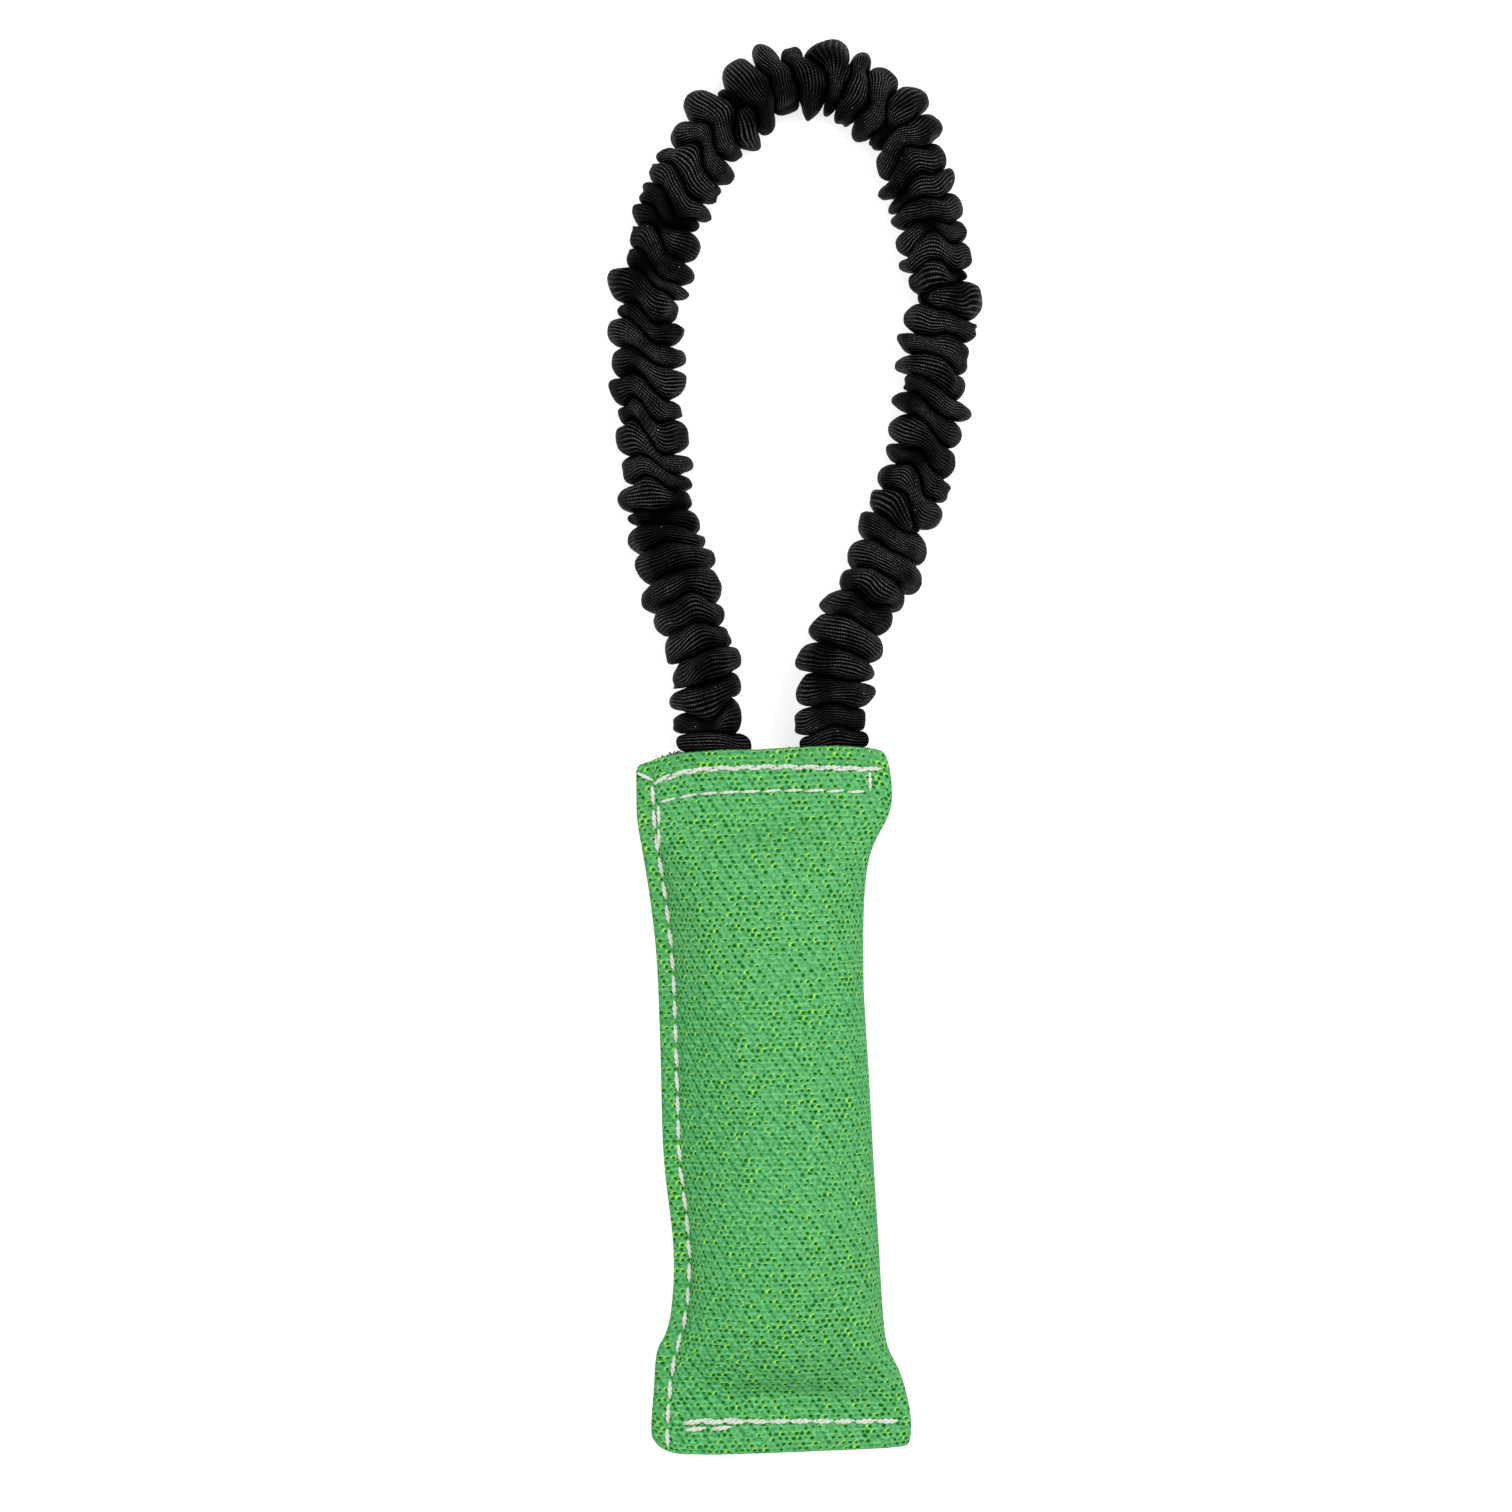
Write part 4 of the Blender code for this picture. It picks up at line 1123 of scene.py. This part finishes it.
    # The pits' painted shade, then the glints' painted highlights.
    colour = blend_colour(tree, pit, base, (0.000, 0.165, 0.000, 1))
    colour = blend_colour(tree, glint, colour, (0.450, 1.000, 0.130, 1))
    tree.links.new(colour, shader.inputs["Base Color"])
    u = work_out(tree, "MULTIPLY", across, 6 * math.pi / float_length)
    ends = work_out(tree, "MULTIPLY_ADD", work_out(tree, "COSINE", u), 0.06, 0.06)
    w = work_out(tree, "MULTIPLY", down, 2 * math.pi / pick_pitch)
    picks = work_out(tree, "MULTIPLY_ADD", work_out(tree, "COSINE", w), 0.20, 0.20)
    height = work_out(tree, "ADD", ends, picks)
    height = work_out(tree, "MULTIPLY_ADD", tone, 0.5, height)
    height = work_out(tree, "SUBTRACT", height, work_out(tree, "MULTIPLY", pit, 0.6))
    height = work_out(tree, "MULTIPLY_ADD", glint, 0.3, height)
    raise_by(tree, shader, height, 0.00028)
    return material


green_cloth = cloth_material()
cover.data.materials.clear()
cover.data.materials.append(green_cloth)
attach(cover, "pad")
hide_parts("cover")

# The filling: a firm wad of loose white fibre, which only shows if the cover is cut open. It
# is pressed to fit inside the finished cover.
wad_gap = 0.0008
cover_surface = BVHTree.FromPolygons(
    [vertex.co for vertex in fine_mesh.vertices],
    [list(face.vertices) for face in fine_mesh.polygons],
)


def surface_point(x, y, face):
    """Where the cover's front or back face lies at x and y."""
    start = Vector((x, y, seam_height + face * 0.05))
    hit = cover_surface.ray_cast(start, Vector((0, 0, -face)))[0]
    if hit is None:
        return Vector((x, y, seam_height + face * 0.0018))
    return hit


wad_rows = []
for y in np.linspace(-0.0875, 0.0840, 100):
    xs, zs, _ = face_line(float(y))
    body = slice(5, columns)
    shrink = 0.0021 / max(float(zs.max()), 0.003)
    middle = (xs[5] + xs[-1]) / 2
    front = np.column_stack(
        [middle + (xs[body] - middle) * (1 - shrink), np.full(columns - 5, y),
         seam_height + np.maximum(zs[body] * (1 - shrink) - 0.0004, 0.0001)]
    )
    back = front.copy()
    back[:, 2] = 2 * seam_height - front[:, 2]
    wad_rows.append(np.vstack([front, back[-2:0:-1]]))
wad_points = np.array(wad_rows)
lumps = np.array(
    [noise.noise(Vector(point) * 150) for point in wad_points.reshape(-1, 3)]
).reshape(wad_points.shape[:2])
wad_middle = wad_points.mean(1, keepdims=True)
wad_points = wad_middle + (wad_points - wad_middle) * (0.965 + 0.03 * lumps)[..., None]
for point in wad_points.reshape(-1, 3):
    top = surface_point(point[0], point[1], 1).z - wad_gap
    bottom = surface_point(point[0], point[1], -1).z + wad_gap
    point[2] = min(max(point[2], bottom), top) if bottom < top else (bottom + top) / 2
wad_mesh = tube_mesh("fibre_filling", wad_points, range(len(wad_points)), 1, "fibre")


def fibre_material():
    """Off-white fluff with no shine."""
    material, tree, shader = new_finish("white_fibre", 0.95)
    fluff = clouds(tree, 700, 6, (1, 0.4, 1))
    colour = blend_colour(
        tree, fade(tree, fluff, 0.3, 0.7), (0.66, 0.65, 0.61, 1), (0.84, 0.83, 0.80, 1)
    )
    tree.links.new(colour, shader.inputs["Base Color"])
    raise_by(tree, shader, fluff, 0.0006)
    return material


filling = add_piece("fibre_filling", wad_mesh, fibre_material())
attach(filling, "pad")
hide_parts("filling")

# The seams: white polyester thread in lockstitch, a needle thread on the front and a bobbin
# thread on the back. Geometry Nodes twist each stitch from two plies and sink its ends.
needle_ply_radius = 0.00030
stitch_lift = 0.00034


def stitch_tree():
    """One lens-shaped stitch of two twisted plies, set on every point of the seam."""
    group, named, given = start_tree("stitches", [
        ("Geometry", "NodeSocketGeometry", None),
        ("Stitch length", "NodeSocketFloat", 0.0058),
        ("Ply radius", "NodeSocketFloat", needle_ply_radius),
        ("Twists", "NodeSocketFloat", 1.8),
        ("Sink", "NodeSocketFloat", 0.0009),
        ("Looseness", "NodeSocketFloat", 0.08),
        ("Seed", "NodeSocketInt", 3),
        ("Material", "NodeSocketMaterial", None),
    ])
    plies = chain(group, "GeometryNodeJoinGeometry")
    for ply in range(2):
        helix = chain(
            group, "GeometryNodeCurveSpiral",
            {"Resolution": 8, "Rotations": given["Twists"], "Start Radius": given["Ply radius"],
             "End Radius": given["Ply radius"], "Height": given["Stitch length"]},
        )
        turned = chain(
            group, "GeometryNodeTransform", {"Geometry": helix, "Rotation": (0, 0, ply * math.pi)}
        )
        feed(group, plies.inputs[0], turned)
    # It is thick in the middle of its length, and its ends are thin and sunk.
    reach = chain(group, "GeometryNodeSplineParameter").outputs["Factor"]
    arch = work_out(group, "SINE", work_out(group, "MULTIPLY", reach, math.pi))
    arch = work_out(group, "MAXIMUM", arch, 0.0)
    thin = work_out(group, "MULTIPLY_ADD", work_out(group, "POWER", arch, 0.65), 0.8, 0.25)
    radius = work_out(group, "MULTIPLY", thin, given["Ply radius"])
    radius = work_out(group, "MULTIPLY", radius, 1.05)
    drop = work_out(group, "SUBTRACT", 1.0, work_out(group, "POWER", arch, 0.5))
    drop = work_out(group, "MULTIPLY", drop, given["Sink"])
    spot = chain(group, "ShaderNodeSeparateXYZ", {0: chain(group, "GeometryNodeInputPosition")})
    high = work_out(group, "MULTIPLY", spot.outputs[0], thin)
    high = work_out(group, "SUBTRACT", high, drop)
    aside = work_out(group, "MULTIPLY", spot.outputs[1], thin)
    half = work_out(group, "MULTIPLY", given["Stitch length"], 0.5)
    centred = work_out(group, "SUBTRACT", spot.outputs[2], half)
    bent_to = chain(group, "ShaderNodeCombineXYZ", {0: high, 1: aside, 2: centred})
    bent = chain(group, "GeometryNodeSetPosition", {"Geometry": plies, "Position": bent_to})
    sized = chain(group, "GeometryNodeSetCurveRadius", {"Curve": bent, "Radius": radius})
    ply_round = chain(group, "GeometryNodeCurvePrimitiveCircle", {"Resolution": 6, "Radius": 1.0})
    bead = chain(
        group, "GeometryNodeCurveToMesh",
        {"Curve": sized, "Profile Curve": ply_round, "Fill Caps": True, "Scale": radius},
    )
    # It points along the seam with its top away from the cloth, a little longer or shorter.
    along, upward = (
        chain(group, "GeometryNodeInputNamedAttribute", {"Name": name}, data_type="FLOAT_VECTOR")
        for name in ("along", "upward")
    )
    facing_along = chain(group, "FunctionNodeAlignRotationToVector", {"Vector": along}, axis="Z")
    facing_up = chain(
        group, "FunctionNodeAlignRotationToVector", {"Rotation": facing_along, "Vector": upward},
        axis="X", pivot_axis="Z",
    )
    least = work_out(group, "SUBTRACT", 1.0, given["Looseness"])
    most = work_out(group, "ADD", 1.0, given["Looseness"])
    long = chain(
        group, "FunctionNodeRandomValue", {2: least, 3: most, "Seed": given["Seed"]},
        data_type="FLOAT",
    )
    stretch = chain(group, "ShaderNodeCombineXYZ", {0: 1.0, 1: 1.0, 2: long.outputs[1]})
    placed = chain(
        group, "GeometryNodeInstanceOnPoints",
        {"Points": given["Geometry"], "Instance": bead, "Rotation": facing_up, "Scale": stretch},
    )
    end_tree(group, placed, given["Material"])
    return group, named


def thread_material():
    """Off-white thread, greyer in its twist, with a little of the cloth's dust on it."""
    material, tree, shader = new_finish("white_thread", 0.55)
    shader.inputs["Sheen Weight"].default_value = 0.2
    dust = clouds(tree, 900, 3)
    colour = blend_colour(
        tree, fade(tree, dust, 0.35, 0.65), (0.78, 0.83, 0.72, 1), (0.97, 0.98, 0.93, 1)
    )
    tree.links.new(colour, shader.inputs["Base Color"])
    raise_by(tree, shader, dust, 0.0001)
    return material


stitch_group, stitch_inputs = stitch_tree()
white_thread = thread_material()


def sew(name, rows, face, thread_size, luck):
    """One thread's stitches along rows of a seam, as one piece on the cover's face."""
    made = []
    for number, (knots, offset, side_step, thick, long) in enumerate(rows):
        line, run, count = seam_spots(knots)
        holes = (np.arange(count + 1) + offset) / count * run[-1]
        holes = holes[holes <= run[-1] * 1.001]
        xs = np.interp(holes, run, line[:, 0])
        ys = np.interp(holes, run, line[:, 1])
        mesh = bpy.data.meshes.new(name)
        spots, ways, ups = [], [], []
        for x0, y0, x1, y1 in zip(xs, ys, xs[1:], ys[1:]):
            slant = math.radians(luck.normal(3.0, 2.5))
            way = Vector((x1 - x0, y1 - y0, 0)).normalized()
            aside = Vector((-way.y, way.x, 0)) * side_step
            ends = [surface_point(x + aside.x, y + aside.y, face) for x, y in ((x0, y0), (x1, y1))]
            middle = surface_point((x0 + x1) / 2 + aside.x, (y0 + y1) / 2 + aside.y, face)
            height = max(middle.z * face, (ends[0].z + ends[1].z) / 2 * face) * face
            spots.append((middle.x, middle.y, height + face * thick * stitch_lift))
            ways.append(Matrix.Rotation(slant, 3, "Z") @ (ends[1] - ends[0]).normalized())
            ups.append(Vector((0, 0, face)))
        mesh.from_pydata(spots, [], [])
        for label, vectors in (("along", ways), ("upward", ups)):
            held = mesh.attributes.new(label, "FLOAT_VECTOR", "POINT")
            held.data.foreach_set("vector", np.array(vectors, np.float32).ravel())
        values = {
            stitch_inputs["Stitch length"]: long,
            stitch_inputs["Ply radius"]: needle_ply_radius * thick * thread_size,
            stitch_inputs["Seed"]: 5 + number,
            stitch_inputs["Material"]: white_thread,
        }
        made.append(grow(f"{name}_{number}", mesh, stitch_group, values))
    whole = bmesh.new()
    for thing in made:
        whole.from_mesh(thing.data)
        bpy.data.objects.remove(thing, do_unlink=True)
    mesh = bpy.data.meshes.new(name)
    whole.to_mesh(mesh)
    whole.free()
    mesh.shade_smooth()
    thread = add_piece(name, mesh, white_thread)
    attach(thread, "pad")
    return thread


side_rows = [
    (side_start, 0, 0, 1.00, 0.0052),
    (side_seam, 0, -0.0001, 1.22, 0.0056),
    (side_backtack, 0, 0, 0.95, 0.0056),
]
end_rows = [
    (end_seam, 0, 0, 1.40, 0.0061),
    (end_start, 0.5, 0.0005, 1.10, 0.0046),
    (end_backtack, 0, 0, 1.25, 0.0058),
]
mouth_rows = [
    (outer_row, 0, 0.0001, 1.18, 0.0058),
    (outer_row, 0.5, -0.0005, 0.80, 0.0040),
    (end_bar, 0, 0, 0.90, 0.0056),
    (inner_row, 0, 0, 0.82, 0.0053),
]
seams = {"side_seam": side_rows, "end_seam": end_rows, "mouth_seam": mouth_rows}
for face_name, face, thread_size in (("front", 1, 1.0), ("back", -1, 0.9)):
    for seam_name, rows in seams.items():
        luck = np.random.RandomState(11)
        thread = sew(f"{seam_name}_stitches_{face_name}", rows, face, thread_size, luck)
        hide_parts(f"{seam_name}_thread_{face_name}")

low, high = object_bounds()
